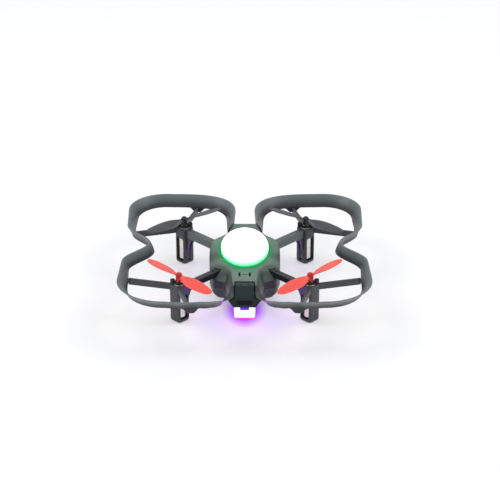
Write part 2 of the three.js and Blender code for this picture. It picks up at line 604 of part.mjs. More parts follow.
function domeArc(r, z0, z1) {
  const steps = 6;
  return Array.from({ length: steps + 1 }, (_, i) => {
    const angle = (i / steps) * (Math.PI / 2);
    return [i === steps ? 0 : r * Math.cos(angle), z0 + (z1 - z0) * Math.sin(angle)];
  });
}

function domeLens() {
  const outside = domeArc(DOME.r, DOME.rim, DOME.top);
  const inside = domeArc(DOME.r - DOME.wall, DOME.rim, DOME.top - DOME.wall).reverse();
  return lathe([...inside, [DOME.r - DOME.wall, DOME.low], [DOME.r, DOME.low], ...outside], [0, DOME.y], 28);
}

function domeReflector() {
  const { low, top, inner, outer, rim } = REFLECTOR;
  return lathe([[inner, low], [outer, low], [rim, top], [outer, top], [inner, low]], [0, DOME.y], 24);
}

function domeBoard() {
  const { r, bottom, top, chips, chipRing, chipHalf, chipTop } = DOME_BOARD;
  const disc = cylinder(r, [bottom, top], [0, DOME.y], 24);
  const lights = Array.from({ length: chips }, (_, i) => {
    const angle = (i / chips) * Math.PI * 2;
    const [x, y] = [chipRing * Math.cos(angle), DOME.y + chipRing * Math.sin(angle)];
    return box([x - chipHalf, x + chipHalf], [y - chipHalf, y + chipHalf], [top - 0.2, chipTop]);
  });
  return join([disc, ...lights]);
}

// ---------- nose ----------

const VISOR_FACE = VISOR[VISOR.length - 1].y;

function noseVisor() {
  const rings = VISOR.map(({ y, top, middle, bottom }) => {
    const half = [top, middle, bottom];
    return half.concat(half.map(([x, z]) => [-x, z]).reverse()).map(([x, z]) => new THREE.Vector3(x, y, z));
  });
  const room = VISOR_ROOM;
  const pocket = box([-SENSOR.half, SENSOR.half], [-60, VISOR_FACE + SENSOR.depth], [SENSOR.bottom, SENSOR.top]);
  const cavity = box([-room.half, room.half], [room.front, 0], [room.bottom, room.top]);
  const sight = box(
    [-VISOR_SIGHT.half, VISOR_SIGHT.half], [-60, NOSE_SENSOR.rear], [VISOR_SIGHT.bottom, VISOR_SIGHT.top]);
  return cut(loft(rings), [pocket, cavity, sight]);
}

function sensorWindow() {
  const half = SENSOR.half - GAP;
  return box(
    [-half, half], [VISOR_FACE + 0.1, VISOR_FACE + SENSOR.depth - GAP], [SENSOR.bottom + GAP, SENSOR.top - GAP]);
}

function lensForm(inset, front, rear) {
  const low = LENS.low + inset;
  const half = [
    [LENS.half - inset, LENS.top - inset], [LENS.halfLow - inset, low + LENS_CORNER],
    [LENS.halfLow - inset - LENS_CORNER, low],
  ];
  const section = half.concat(half.map(([x, z]) => [-x, z]).reverse());
  return loft([front, rear].map((y) => section.map(([x, z]) => new THREE.Vector3(x, y, z))));
}

function noseLens() {
  const notch = box(
    [-LENS_NOTCH.half, LENS_NOTCH.half], [-60, LENS.front + LENS_NOTCH.back], [LENS.top - LENS_NOTCH.deep, 60]);
  const hollowed = lensForm(LENS.wall, LENS.front + LENS_NOTCH.face, LENS.rear + 2);
  return cut(lensForm(0, LENS.front, LENS.rear), [hollowed, notch]);
}

function noseLightBoard() {
  const { half, front, rear, bottom, top } = NOSE_LIGHT;
  return box([-half, half], [front, rear], [bottom, top]);
}

function frontRangeSensor() {
  const { half, front, rear, bottom, top, eye, eyePlace } = NOSE_SENSOR;
  const module = box([-half, half], [front, rear], [bottom, top]);
  const eyes = [-eyePlace, eyePlace].map((x) =>
    box([x - eye, x + eye], [front - GAP, front + GAP], [bottom + 0.2, bottom + 1.2]));
  return join([module, ...eyes]);
}

// ---------- inside the body ----------

function mainBoard() {
  const outline = [
    [8.6, 26.4], [8.6, 8], [13.5, 8], [13.5, -8.6], [9.6, -8.6], [9.6, -22],
    [-9.6, -22], [-9.6, -8.6], [-13.5, -8.6], [-13.5, 8], [-8.6, 8], [-8.6, 26.4],
  ].reverse();
  const plate = prism(outline, [BOARD.bottom, BOARD.top]);
  const chips = [[[-3.5, 3.5], [-6, 1]], [[5, 9], [-4, 0]], [[-4, 4], [-19, -13]]];
  return join([plate, ...chips.map(([xs, ys]) => box(xs, ys, [BOARD.top - 0.2, BOARD.chipTop]))]);
}

function usbPort() {
  const outside = box([-USB.half, USB.half], [USB.front, USB.rear], [USB.bottom, USB.top]);
  const inside = box(
    [-USB.half + USB.wall, USB.half - USB.wall], [USB.front + 1, 40], [USB.bottom + USB.wall, USB.top - USB.wall]);
  return outside.subtract(inside);
}

function powerButton() {
  const { x, z, halfX, halfZ, face, rim, stem, back } = BUTTON;
  const cap = box([x - halfX, x + halfX], [rim, face], [z - halfZ, z + halfZ]);
  return cap.add(box([x - stem, x + stem], [back, rim + 1], [z - stem, z + stem]));
}

function powerSwitch() {
  return box([BUTTON.x - 1.5, BUTTON.x + 0.1], [23, 25.4], [BOARD.top + GAP, BUTTON.z + BUTTON.halfZ]);
}

function batteryPack() {
  const { half, bottom, top, soft, front, rear } = BATTERY;
  const right = [[half, bottom + soft], [half, top - soft], [half - soft, top]];
  const left = [[soft - half, top], [-half, top - soft], [-half, bottom + soft]];
  const outline = [...right, ...left, [soft - half, bottom], [half - soft, bottom]];
  const ring = (y) => outline.map(([x, z]) => new THREE.Vector3(x, y, z));
  return loft([ring(front), ring(rear - GRIP.depth - GAP)]);
}

function batteryGrip() {
  const { half, middle, pitch, thick, face } = GRIP_RIBS;
  const cap = box(
    [-BATTERY.half, BATTERY.half], [BATTERY.rear - GRIP.depth, GRIP.face], [BATTERY.bottom, BATTERY.top]);
  const ribs = [-pitch, 0, pitch].map((up) =>
    box([-half, half], [GRIP.face - 0.2, face], [middle + up - thick / 2, middle + up + thick / 2]));
  return join([cap, ...ribs]);
}

function batteryConnector() {
  const { half, front, bottom, top, key, keyHalf, keyFront } = CONNECTOR;
  const block = box([-half, half], [front, BATTERY.front - GAP], [bottom, top]);
  const keys = [-key, key].map((x) =>
    box([x - keyHalf, x + keyHalf], [keyFront, BATTERY.front], [bottom + 1.6, top - 1.6]));
  return cut(block, keys);
}

function flowCamera() {
  return box([-FLOW.module, FLOW.module], [FLOW.y - FLOW.module, FLOW.y + FLOW.module], [FLOW.bottom, FLOW.top]);
}

function flowLens() {
  const back = FLOW.bottom - GAP;
  return lathe([[0, 6.3], [1.6, 6.2], [2.2, 6.4], [2.4, back], [0, back]], [0, FLOW.y], 16);
}

function floorSensor() {
  const { y, halfX, halfY, bottom, top } = FLOOR_SENSOR;
  return box([-halfX, halfX], [y - halfY, y + halfY], [bottom, top]);
}

function bodyScrew(shankTop) {
  const { headR, headBottom, seat, shankR, drive, slot } = SCREW;
  const head = cylinder(headR, [headBottom, seat - 2 * GAP], [0, 0], 12);
  const driveTop = headBottom + 0.5;
  const cross = box([-slot, slot], [-drive, drive], [0, driveTop])
    .add(box([-drive, drive], [-slot, slot], [0, driveTop]));
  return head.add(cylinder(shankR, [seat - 1, shankTop], [0, 0], 12)).subtract(cross);
}

// ---------- the assembly ----------

addPart('top_shell', topShell(), material.shell());
addPart('bottom_shell', bottomShell(), material.shell());
addPart('guard_left', guard(), material.shell());
addPart('guard_right', guard(), material.shell()).scale.x = -1;

for (const corner of CORNERS) {
  const { name, sx, sy, lug, front } = corner;
  const axis = [sx * MOTOR_OFFSET, sy * MOTOR_OFFSET, 0];
  addPart(`motor_arm_${name}`, motorArm(corner), material.arm()).scale.set(sx, sy, 1);
  addPart(`motor_lead_${name}`, motorLead(corner), material.lead()).scale.set(sx, sy, 1);
  addPart(`motor_can_${name}`, motorCan(), material.motor()).position.set(...axis);
  addPart(`motor_end_cap_${name}`, motorEndCap(), material.clip()).position.set(...axis);
  addPart(`motor_clip_${name}`, motorClip(), material.clip()).position.set(...axis);
  addPart(`motor_shaft_${name}`, motorShaft(), material.steel()).position.set(...axis);
  const look = front ? material.frontPropeller() : material.rearPropeller();
  const rotor = addPart(`propeller_${name}`, propeller(), look);
  const rest = THREE.MathUtils.degToRad(front ? PROP_REST.front : PROP_REST.rear);
  const anticlockwise = sx * sy > 0;
  rotor.position.set(...axis);
  rotor.scale.x = anticlockwise ? 1 : -1;
  rotor.rotation.z = sx > 0 ? rest : -rest;
  const [x, y] = along(sx, sy, lug);
  const screw = bodyScrew(corner.top - LUG.drop - SCREW.short);
  addPart(`body_screw_${name}`, screw, material.steel()).position.set(x, y, 0);
}

addPart('dome_lens', domeLens(), material.dome());
addPart('dome_reflector', domeReflector(), material.reflector());
addPart('dome_light_board', domeBoard(), material.board());
addPart('nose_visor', noseVisor(), material.visor());
addPart('nose_sensor_window', sensorWindow(), material.window());
addPart('front_range_sensor', frontRangeSensor(), material.clip());
addPart('nose_light_lens', noseLens(), material.lens());
addPart('nose_light_board', noseLightBoard(), material.board());
addPart('main_board', mainBoard(), material.board());
addPart('buzzer', cylinder(BUZZER.r, [BOARD.top + GAP, BUZZER.top], [0, BUZZER.y], 20), material.clip());
addPart('usb_port', usbPort(), material.steel());
addPart('power_switch', powerSwitch(), material.clip());
addPart('power_button', powerButton(), material.clip());
addPart('battery_pack', batteryPack(), material.battery());
addPart('battery_grip', batteryGrip(), material.clip());
addPart('battery_connector', batteryConnector(), material.clip());
addPart('flow_camera_module', flowCamera(), material.board());
addPart('flow_camera_lens', flowLens(), material.window());
addPart('floor_range_sensor', floorSensor(), material.window());

export default model;
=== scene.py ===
import math

import bmesh
import bpy
import numpy as np
from mathutils import Matrix, Vector


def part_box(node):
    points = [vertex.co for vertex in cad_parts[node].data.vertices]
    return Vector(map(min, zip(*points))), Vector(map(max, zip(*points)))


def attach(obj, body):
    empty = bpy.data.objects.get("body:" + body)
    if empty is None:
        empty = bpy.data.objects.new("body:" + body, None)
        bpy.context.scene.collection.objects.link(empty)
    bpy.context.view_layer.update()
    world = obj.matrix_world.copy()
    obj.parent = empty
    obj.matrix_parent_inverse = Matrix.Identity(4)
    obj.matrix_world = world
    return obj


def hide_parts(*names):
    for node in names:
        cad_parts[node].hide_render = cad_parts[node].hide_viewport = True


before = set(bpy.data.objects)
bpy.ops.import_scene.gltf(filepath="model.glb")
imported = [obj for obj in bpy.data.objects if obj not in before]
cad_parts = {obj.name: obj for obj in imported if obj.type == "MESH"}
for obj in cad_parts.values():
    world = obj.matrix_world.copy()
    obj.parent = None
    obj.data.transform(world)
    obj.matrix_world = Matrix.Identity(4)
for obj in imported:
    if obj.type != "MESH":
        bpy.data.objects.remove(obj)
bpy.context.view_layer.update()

MM = 0.001

# ---- sizes, in millimetres


def span(node):
    """Lowest and highest corner of a CAD node, in millimetres."""
    low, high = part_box(node)
    return [low[i] / MM for i in range(3)], [high[i] / MM for i in range(3)]


CORNERS = [("front_left", 1, -1), ("front_right", -1, -1), ("rear_left", 1, 1), ("rear_right", -1, 1)]
CAN_LOW, CAN_HIGH = span("motor_can_rear_left")
MOTOR_OFFSET = (CAN_LOW[0] + CAN_HIGH[0]) / 2
MOTOR_R = (CAN_HIGH[0] - CAN_LOW[0]) / 2
CAN_BOTTOM = CAN_LOW[2]
BOSS_TOP = CAN_HIGH[2]
CAN_TOP = BOSS_TOP - 0.8
_, GUARD_HIGH = span("guard_left")
DOME_LOW, DOME_HIGH = span("dome_lens")
DOME_Y = (DOME_LOW[1] + DOME_HIGH[1]) / 2
DOME_R = (DOME_HIGH[0] - DOME_LOW[0]) / 2
LENS_LOW, LENS_HIGH = span("nose_light_lens")
PROP_LOW, PROP_HIGH = span("propeller_rear_left")

DIAGONAL = math.sqrt(0.5)
WALL = 1.3
PARTING = 13.0
PARTING_LINE = 0.3
GAP = 0.3
SHELL_SOFT, ARM_SOFT, CLIP_SOFT, LENS_SOFT, VISOR_SOFT = 0.16, 0.22, 0.2, 0.15, 0.35

# ---- mesh helpers


def linked(name, data):
    """A new object in the scene."""
    obj = bpy.data.objects.new(name, data)
    bpy.context.scene.collection.objects.link(obj)
    return obj


def new_object(name, verts, faces):
    """A smooth mesh object with welded corners; the corners are given in millimetres."""
    mesh = bpy.data.meshes.new(name)
    mesh.from_pydata([tuple(c * MM for c in v) for v in verts], [], faces)
    mesh.validate()
    bm = bmesh.new()
    bm.from_mesh(mesh)
    bmesh.ops.remove_doubles(bm, verts=bm.verts, dist=1e-7)
    bmesh.ops.recalc_face_normals(bm, faces=bm.faces)
    bm.to_mesh(mesh)
    bm.free()
    for polygon in mesh.polygons:
        polygon.use_smooth = True
    return linked(name, mesh)


def strip_faces(rows, count, closed, base=0):
    """Quads over a grid of points: rows of count points, each row closed into a ring or open."""
    faces = []
    for r in range(rows - 1):
        for i in range(count if closed else count - 1):
            a = base + r * count + i
            b = base + r * count + (i + 1) % count
            faces.append((a, b, b + count, a + count))
    return faces


def loft(name, rings):
    """A body through closed rings of equally many points, with a flat face at each end."""
    count = len(rings[0])
    verts = [p for ring in rings for p in ring]
    faces = strip_faces(len(rings), count, True)
    faces.append(tuple(range(count)))
    faces.append(tuple(range((len(rings) - 1) * count, len(rings) * count)))
    return new_object(name, verts, faces)


def lathe(name, profile, centre=(0, 0), segments=64):
    """A body of revolution about Z; the profile is a closed or axis-to-axis list of (radius, height)."""
    rings = []
    for k in range(segments):
        turn = math.tau * k / segments
        across, along_y = math.cos(turn), math.sin(turn)
        rings.append([(centre[0] + r * across, centre[1] + r * along_y, z) for r, z in profile])
    on_axis = profile[0][0] == 0 and profile[-1][0] == 0
    verts = [p for ring in rings for p in ring]
    faces = strip_faces(segments + 1, len(profile), not on_axis)
    return new_object(name, verts, [tuple(i % len(verts) for i in face) for face in faces])


def box(name, xs, ys, zs):
    """A box between two places along each axis; only ever joined to a piece or cut out of one."""
    verts = [(x, y, z) for x in xs for y in ys for z in zs]
    faces = [(0, 1, 3, 2), (4, 6, 7, 5), (0, 4, 5, 1), (2, 3, 7, 6), (0, 2, 6, 4), (1, 5, 7, 3)]
    return new_object(name, verts, faces)


def prism(name, outline, z0, z1):
    rings = [[(x, y, z) for x, y in outline] for z in (z0, z1)]
    return loft(name, rings)


def cylinder(name, r, z0, z1, centre=(0, 0), segments=48):
    turns = [math.tau * k / segments for k in range(segments)]
    outline = [(centre[0] + r * math.cos(turn), centre[1] + r * math.sin(turn)) for turn in turns]
    return prism(name, outline, z0, z1)


def bake_modifiers(obj):
    """Turns the modifiers' result into the object's own mesh."""
    bpy.context.view_layer.update()
    evaluated = obj.evaluated_get(bpy.context.evaluated_depsgraph_get())
    mesh = bpy.data.meshes.new_from_object(evaluated)
    old = obj.data
    obj.modifiers.clear()
    obj.data = mesh
    bpy.data.meshes.remove(old)
    return obj


def combine(obj, tools, operation):
    """Joins or cuts obj with each tool by a boolean, and removes the tools."""
    for tool in tools:
        mod = obj.modifiers.new("combine", "BOOLEAN")
        mod.operation = operation
        mod.solver = "EXACT"
        mod.object = tool
        bake_modifiers(obj)
        bpy.data.objects.remove(tool)
    return obj


def cut(obj, tools):
    return combine(obj, tools, "DIFFERENCE")


def join(obj, tools):
    return combine(obj, tools, "UNION")


def bevel(obj, width, segments=2, angle=40):
    mod = obj.modifiers.new("bevel", "BEVEL")
    mod.width = width * MM
    mod.segments = segments
    mod.limit_method = "ANGLE"
    mod.angle_limit = math.radians(angle)
    mod.harden_normals = False
    mod.use_clamp_overlap = True
    return bake_modifiers(obj)


def shade(obj, angle=38):
    """Smooth shading with sharp edges past the angle, evened out over the flats."""
    for polygon in obj.data.polygons:
        polygon.use_smooth = True
    obj.data.set_sharp_from_angle(angle=math.radians(angle))
    mod = obj.modifiers.new("even", "WEIGHTED_NORMAL")
    mod.keep_sharp = True
    mod.weight = 60
    return obj


def moved(obj, matrix):
    """Moves the mesh itself, and turns its faces back out where the matrix mirrors it."""
    obj.data.transform(matrix)
    if matrix.determinant() < 0:
        obj.data.flip_normals()
    return obj


def finish_piece(obj, look, node, body="airframe"):
    """Gives a piece its look, the CAD node it stands for and the body it rides on."""
    obj.data.materials.clear()
    obj.data.materials.append(LOOKS[look])
    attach(obj, body)
    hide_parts(node)
    return obj


def paint(obj, look, chosen):
    """Gives a further look to the faces whose middle, in millimetres, passes the test."""
    obj.data.materials.append(LOOKS[look])
    index = len(obj.data.materials) - 1
    for polygon in obj.data.polygons:
        if chosen(polygon.center / MM):
            polygon.material_index = index


# ---- curve helpers


def arc(cx, cy, r, start, end, steps):
    angles = [math.radians(start + (end - start) * i / steps) for i in range(steps + 1)]
    return [(cx + r * math.cos(a), cy + r * math.sin(a)) for a in angles]


def bezier(a, b, c, d, steps):
    out = []
    for i in range(steps + 1):
        t = i / steps
        weights = ((1 - t) ** 3, 3 * t * (1 - t) ** 2, 3 * t * t * (1 - t), t ** 3)
        out.append(tuple(sum(w * p[k] for w, p in zip(weights, (a, b, c, d))) for k in range(2)))
    return out


def resample(points, step):
    """Evenly spaced points along a polyline."""
    points = np.array(points, float)
    lengths = np.concatenate([[0], np.cumsum(np.linalg.norm(np.diff(points, axis=0), axis=1))])
    places = np.linspace(0, lengths[-1], max(2, int(round(lengths[-1] / step)) + 1))
    return [tuple(np.interp(s, lengths, points[:, k]) for k in range(points.shape[1])) for s in places]


def rounded(points, radii, steps=4):
    """An open or closed outline with each corner turned into an arc of steps + 1 points.
    A radius of zero keeps the corner as one point. The count of points never changes with the sizes."""
    out = []
    n = len(points)
    for i, (p, r) in enumerate(zip(points, radii)):
        if r == 0:
            out.append(tuple(p))
            continue
        p = Vector(p)
        before = Vector(points[i - 1]) - p
        after = Vector(points[(i + 1) % n]) - p
        room = min(before.length, after.length) * 0.49
        reach = min(r / math.tan(max(before.angle(after), 1e-3) / 2), room)
        a = p + before.normalized() * reach
        b = p + after.normalized() * reach
        for k in range(steps + 1):
            t = k / steps
            out.append(tuple(a * (1 - t) ** 2 + p * 2 * t * (1 - t) + b * t * t))
    return out


def rounded_box(half, low, high, r, steps):
    """The outline of a box centred across and lying between two heights, with round corners."""
    return rounded([(-half, low), (half, low), (half, high), (-half, high)], [r] * 4, steps)


def smooth_table(rows, places):
    """Monotone cubic interpolation of each column of rows (first column is the place)."""
    rows = np.array(sorted(rows), float)
    x, values = rows[:, 0], rows[:, 1:]
    h = np.diff(x)[:, None]
    slopes = np.diff(values, axis=0) / h
    tangents = np.zeros_like(values)
    for i in range(1, len(x) - 1):
        for c in range(values.shape[1]):
            a, b = slopes[i - 1, c], slopes[i, c]
            if a * b > 0:
                w1 = 2 * h[i, 0] + h[i - 1, 0]
                w2 = h[i, 0] + 2 * h[i - 1, 0]
                tangents[i, c] = (w1 + w2) / (w1 / a + w2 / b)
    tangents[0], tangents[-1] = slopes[0], slopes[-1]
    out = []
    for place in places:
        i = int(np.clip(np.searchsorted(x, place) - 1, 0, len(x) - 2))
        t = (place - x[i]) / h[i, 0]
        h00, h10 = 2 * t ** 3 - 3 * t * t + 1, t ** 3 - 2 * t * t + t
        h01, h11 = -2 * t ** 3 + 3 * t * t, t ** 3 - t * t
        near = h00 * values[i] + h10 * h[i, 0] * tangents[i]
        far = h01 * values[i + 1] + h11 * h[i, 0] * tangents[i + 1]
        out.append(near + far)
    return out


# ---- materials


class Nodes:
    """A small builder for one procedural material."""

    def __init__(self, name):
        self.material = bpy.data.materials.new(name)
        self.material.use_nodes = True
        self.tree = self.material.node_tree
        self.shader = self.tree.nodes["Principled BSDF"]
        self.place = self.add("ShaderNodeTexCoord").outputs["Object"]

    def add(self, kind, **inputs):
        node = self.tree.nodes.new(kind)
        for key, value in inputs.items():
            self.set(node.inputs[key], value)
        return node

    def set(self, socket, value):
        if isinstance(value, bpy.types.NodeSocket):
            self.tree.links.new(value, socket)
        else:
            socket.default_value = value

    def shader_set(self, **values):
        for key, value in values.items():
            self.set(self.shader.inputs[key.replace("_", " ")], value)

    def noise(self, scale, detail=4.0, rough=0.55, place=None):
        place = place or self.place
        node = self.add("ShaderNodeTexNoise", Vector=place, Scale=scale, Detail=detail, Roughness=rough)
        return node.outputs["Fac"]

    def ramp(self, value, stops):
        node = self.add("ShaderNodeValToRGB", Fac=value)
        band = node.color_ramp
        while len(band.elements) < len(stops):
            band.elements.new(0.5)
        for element, (place, colour) in zip(band.elements, stops):
            element.position = place
            element.color = (*colour, 1)
        return node.outputs["Color"]

    def grey_ramp(self, value, stops):
        return self.ramp(value, [(place, (level, level, level)) for place, level in stops])

    def uneven(self, scale, detail, low, high):
        """A level that wanders between two values over the surface."""
        return self.grey_ramp(self.noise(scale, detail), [(0.3, low), (0.7, high)])

    def mix(self, factor, a, b, blend="MIX"):
        node = self.tree.nodes.new("ShaderNodeMix")
        node.data_type = "RGBA"
        node.blend_type = blend
        self.set(node.inputs["Factor"], factor)
        self.set(node.inputs["A"], a if isinstance(a, bpy.types.NodeSocket) else (*a, 1))
        self.set(node.inputs["B"], b if isinstance(b, bpy.types.NodeSocket) else (*b, 1))
        return node.outputs["Result"]

    def math(self, operation, a, b=0.0):
        node = self.tree.nodes.new("ShaderNodeMath")
        node.operation = operation
        self.set(node.inputs[0], a)
        self.set(node.inputs[1], b)
        return node.outputs[0]

    def bump(self, height, distance, strength):
        node = self.add("ShaderNodeBump", Height=height, Distance=distance, Strength=strength)
        self.set(self.shader.inputs["Normal"], node.outputs["Normal"])

    def axis(self, which):
        node = self.add("ShaderNodeSeparateXYZ", Vector=self.place)
        return node.outputs[which]

    def stretched(self, *scale):
        """The place with each axis scaled, so that a pattern runs along one of them."""
        return self.add("ShaderNodeMapping", Vector=self.place, Scale=scale).outputs["Vector"]

    def between(self, value, low, high):
        """How far a measure in metres has gone from low to high, in millimetres, as 0 to 1."""
        node = self.add("ShaderNodeMapRange", Value=value)
        node.inputs["From Min"].default_value = low * MM
        node.inputs["From Max"].default_value = high * MM
        return node.outputs["Result"]

    def scaled(self, vector, factors, offsets):
        """Each part of a vector times its factor, plus its offset."""
        node = self.add("ShaderNodeVectorMath", Vector=vector)
        node.operation = "MULTIPLY_ADD"
        node.inputs[1].default_value = factors
        node.inputs[2].default_value = offsets
        return node.outputs["Vector"]

    def length(self, vector):
        node = self.add("ShaderNodeVectorMath", Vector=vector)
        node.operation = "LENGTH"
        return node.outputs["Value"]

    def facing_up(self):
        """1 on a face that looks up, 0 on an upright one, -1 on one that looks down."""
        normal = self.add("ShaderNodeNewGeometry").outputs["Normal"]
        return self.add("ShaderNodeSeparateXYZ", Vector=normal).outputs["Z"]

    def edge_wear(self):
        node = self.add("ShaderNodeNewGeometry")
        return self.grey_ramp(node.outputs["Pointiness"], [(0.52, 0.0), (0.62, 1.0)])


def shades(colour, spread):
    """A darker and a lighter shade of a base colour."""
    return [tuple(c * (1 + turn * spread) for c in colour) for turn in (-1, 1)]


def moulded_plastic(name, colour, roughness, spread=0.1, painted_light=None):
    """Textured injection moulding: fine spark-erosion grain, faint flow shading, paler worn edges
    and scuffs. The last argument, if given, takes the builder and the colour and returns the colour with
    painted light and shade added."""
    n = Nodes(name)
    dark, light = shades(colour, spread)
    base = n.ramp(n.noise(38, 5.0), [(0.35, dark), (0.5, colour), (0.68, light)])
    wear = n.math("MULTIPLY", n.edge_wear(), n.noise(210, 3.0))
    pale = tuple(min(1.0, c * 1.9 + 0.03) for c in colour)
    worn = n.mix(n.math("MULTIPLY", wear, 0.35), base, pale)
    scratch = n.grey_ramp(n.noise(420, 6.0, 0.7, n.stretched(1.0, 7.0, 3.0)), [(0.66, 0.0), (0.74, 1.0)])
    coloured = n.mix(n.math("MULTIPLY", scratch, 0.10), worn, light)
    n.shader_set(Base_Color=painted_light(n, coloured) if painted_light else coloured)
    n.shader_set(Roughness=n.uneven(95, 4.0, roughness - 0.07, roughness + 0.09), Specular_IOR_Level=0.45)
    n.bump(n.noise(2600, 2.0, 0.6), 0.00003, 0.55)
    return n.material


def shaded_by_height(low, high, levels):
    """Painted shade that darkens a piece towards its lower edge."""
    def painted_light(n, colour):
        height = n.between(n.axis("Z"), low, high)
        return n.mix(1.0, colour, n.grey_ramp(height, levels), "MULTIPLY")
    return painted_light


def painted_shade_by_facing(down, side, slanting):
    """Painted shade that darkens faces that look down, sideways and slanting, each by its own share."""
    def painted_light(n, colour):
        up = n.math("MULTIPLY_ADD", n.facing_up(), 0.5)
        up.node.inputs[2].default_value = 0.5
        levels = [(0.2, down), (0.5, side), (0.75, slanting), (0.95, 1.0)]
        return n.mix(1.0, colour, n.grey_ramp(up, levels), "MULTIPLY")
    return painted_light


# Middle of the painted shade in the hollow in front of each front arm's root (both distances taken positive)
# and its reach.
HOLLOW = (16.0, 20.5, 14.5)
HOLLOW_REACH = (10.0, 12.0, 12.0)


def painted_hollow_shade(n, colour):
    """The colour with painted shade in the hollows in front of the front arms' roots, and the share of light
    left there."""
    flank = n.add("ShaderNodeVectorMath", Vector=n.place)
    flank.operation = "ABSOLUTE"
    factors = [1 / (reach * MM) for reach in HOLLOW_REACH]
    offsets = [-place / reach for place, reach in zip(HOLLOW, HOLLOW_REACH)]
    away = n.length(n.scaled(flank.outputs["Vector"], factors, offsets))
    hollow = n.grey_ramp(away, [(0.5, 0.32), (0.85, 0.42), (1.0, 1.0)])
    rear = n.grey_ramp(n.between(n.axis("Y"), 0, -10), [(0.4, 1.0), (0.8, 0.0)])
    return n.mix(1.0, colour, n.mix(rear, hollow, (1.0, 1.0, 1.0)), "MULTIPLY"), hollow


# Painted shade on the body shells: darker on faces that look down and sideways.
SIDE_SHADE = painted_shade_by_facing(0.3, 0.5, 0.72)
SPILL_REACH = 20


def lit_by_dome(n, colour):
    """Paints the saturated ring and the soft spill of the dome's light on the deck as glow, over the painted
    shade of the sides and hollows.
    """
    distance = n.length(n.scaled(n.place, (1, 1, 0), (0, -DOME_Y * MM, 0)))
    away = n.between(distance, DOME_R, DOME_R + SPILL_REACH)
    upward = n.grey_ramp(n.facing_up(), [(0.3, 0.0), (0.95, 1.0)])
    spill = n.ramp(away, [
        (0.0, (0.0, 0.26, 0.05)), (0.055, (0.0, 0.26, 0.05)), (0.085, (0.004, 0.07, 0.024)),
        (0.35, (0.003, 0.035, 0.012)), (1.0, (0.0, 0.0, 0.0))])
    open_spill = n.mix(1.0, spill, upward, "MULTIPLY")
    ring = n.grey_ramp(away, [(0.0, 0.1), (0.055, 0.1), (0.09, 1.0)])
    shaded, hollow = painted_hollow_shade(n, SIDE_SHADE(n, colour))
    n.shader_set(Emission_Color=n.mix(1.0, open_spill, hollow, "MULTIPLY"), Emission_Strength=1.0)
    return n.mix(1.0, shaded, ring, "MULTIPLY")


def translucent_plastic(name, colour, roughness, spread, glow=0.12):
    """Thin satin moulding with gate flow lines along its length."""
    n = Nodes(name)
    dark, light = shades(colour, spread)
    flow = n.noise(160, 5.0, 0.6, n.stretched(1.0, 1.0, 0.3))
    base = n.ramp(flow, [(0.3, dark), (0.5, colour), (0.72, light)])
    n.shader_set(Base_Color=base, Subsurface_Weight=glow, Subsurface_Scale=0.0012)
    n.shader.inputs["Subsurface Radius"].default_value = (1.0, 0.35, 0.25)
    n.shader_set(Roughness=n.uneven(240, 3.0, roughness - 0.05, roughness + 0.1))
    n.bump(n.noise(1900, 2.0), 0.000015, 0.5)
    return n.material


def lit_lens(name, stops, low, high, strength, base, sides=None, slope=None):
    """A milky lens lit from inside: its light goes from one colour at its base to another at its top.
    sides is the (half-width, reach, colour) of the light along its two side faces; slope is the
    (place along Y, fall) of a base that drops away in front of that place."""
    n = Nodes(name)
    level = n.axis("Z")
    if slope:
        start, fall = slope
        ahead = n.math("MINIMUM", n.math("SUBTRACT", n.axis("Y"), start * MM), 0.0)
        level = n.math("SUBTRACT", level, n.math("MULTIPLY", ahead, fall))
    light = n.ramp(n.between(level, low, high), stops)
    if sides:
        half, reach, colour = sides
        across = n.between(n.math("ABSOLUTE", n.axis("X")), half - reach, half)
        light = n.mix(across, light, colour)
    haze = n.uneven(120, 3.0, 0.86, 1.0)
    n.shader_set(Emission_Color=n.mix(1.0, light, haze, "MULTIPLY"), Emission_Strength=strength)
    body = n.mix(n.noise(60, 3.0), base, tuple(c * 0.93 for c in base))
    n.shader_set(Base_Color=n.mix(1.0, body, light, "MULTIPLY"))
    n.shader_set(Roughness=n.uneven(300, 2.0, 0.22, 0.34))
    n.bump(n.noise(700, 2.0), 0.00002, 0.35)
    return n.material


def gloss_black(name, colour, roughness, strip=None):
    """Polished plastic with faint haze and dust; strip is the (front, rear, colour) of a paler band
    across it."""
    n = Nodes(name)
    dust = n.grey_ramp(n.noise(1500, 3.0, 0.8), [(0.62, 0.0), (0.78, 1.0)])
    base = colour
    if strip:
        front, rear, paler = strip
        inside = n.grey_ramp(n.between(n.axis("Y"), front, rear), [(0.0, 0.0), (0.12, 1.0)])
        base = n.mix(inside, colour, paler)
    dusty = tuple(min(1, c * 4 + 0.03) for c in colour)
    n.shader_set(Base_Color=n.mix(n.math("MULTIPLY", dust, 0.12), base, dusty))
    n.shader_set(Roughness=n.grey_ramp(n.noise(130, 4.0), [(0.3, roughness), (0.75, roughness + 0.16)]))
    n.shader_set(Specular_IOR_Level=0.16, Coat_Weight=0.04, Coat_Roughness=0.1)
    n.bump(n.noise(420, 2.0), 0.00001, 0.3)
    return n.material


def turned_metal(name, colour, roughness=0.32):
    """Drawn or turned metal with fine rings along the axis and a few handling marks."""
    n = Nodes(name)
    ringed = n.noise(2600, 2.0, 0.6, n.stretched(0.15, 0.15, 1.0))
    stained = tuple(c * 0.82 for c in colour)
    n.shader_set(Base_Color=n.ramp(n.noise(170, 4.0), [(0.3, stained), (0.6, colour)]), Metallic=1.0)
    n.shader_set(Roughness=n.grey_ramp(ringed, [(0.25, roughness - 0.08), (0.75, roughness + 0.12)]))
    n.bump(ringed, 0.000012, 0.5)
    return n.material


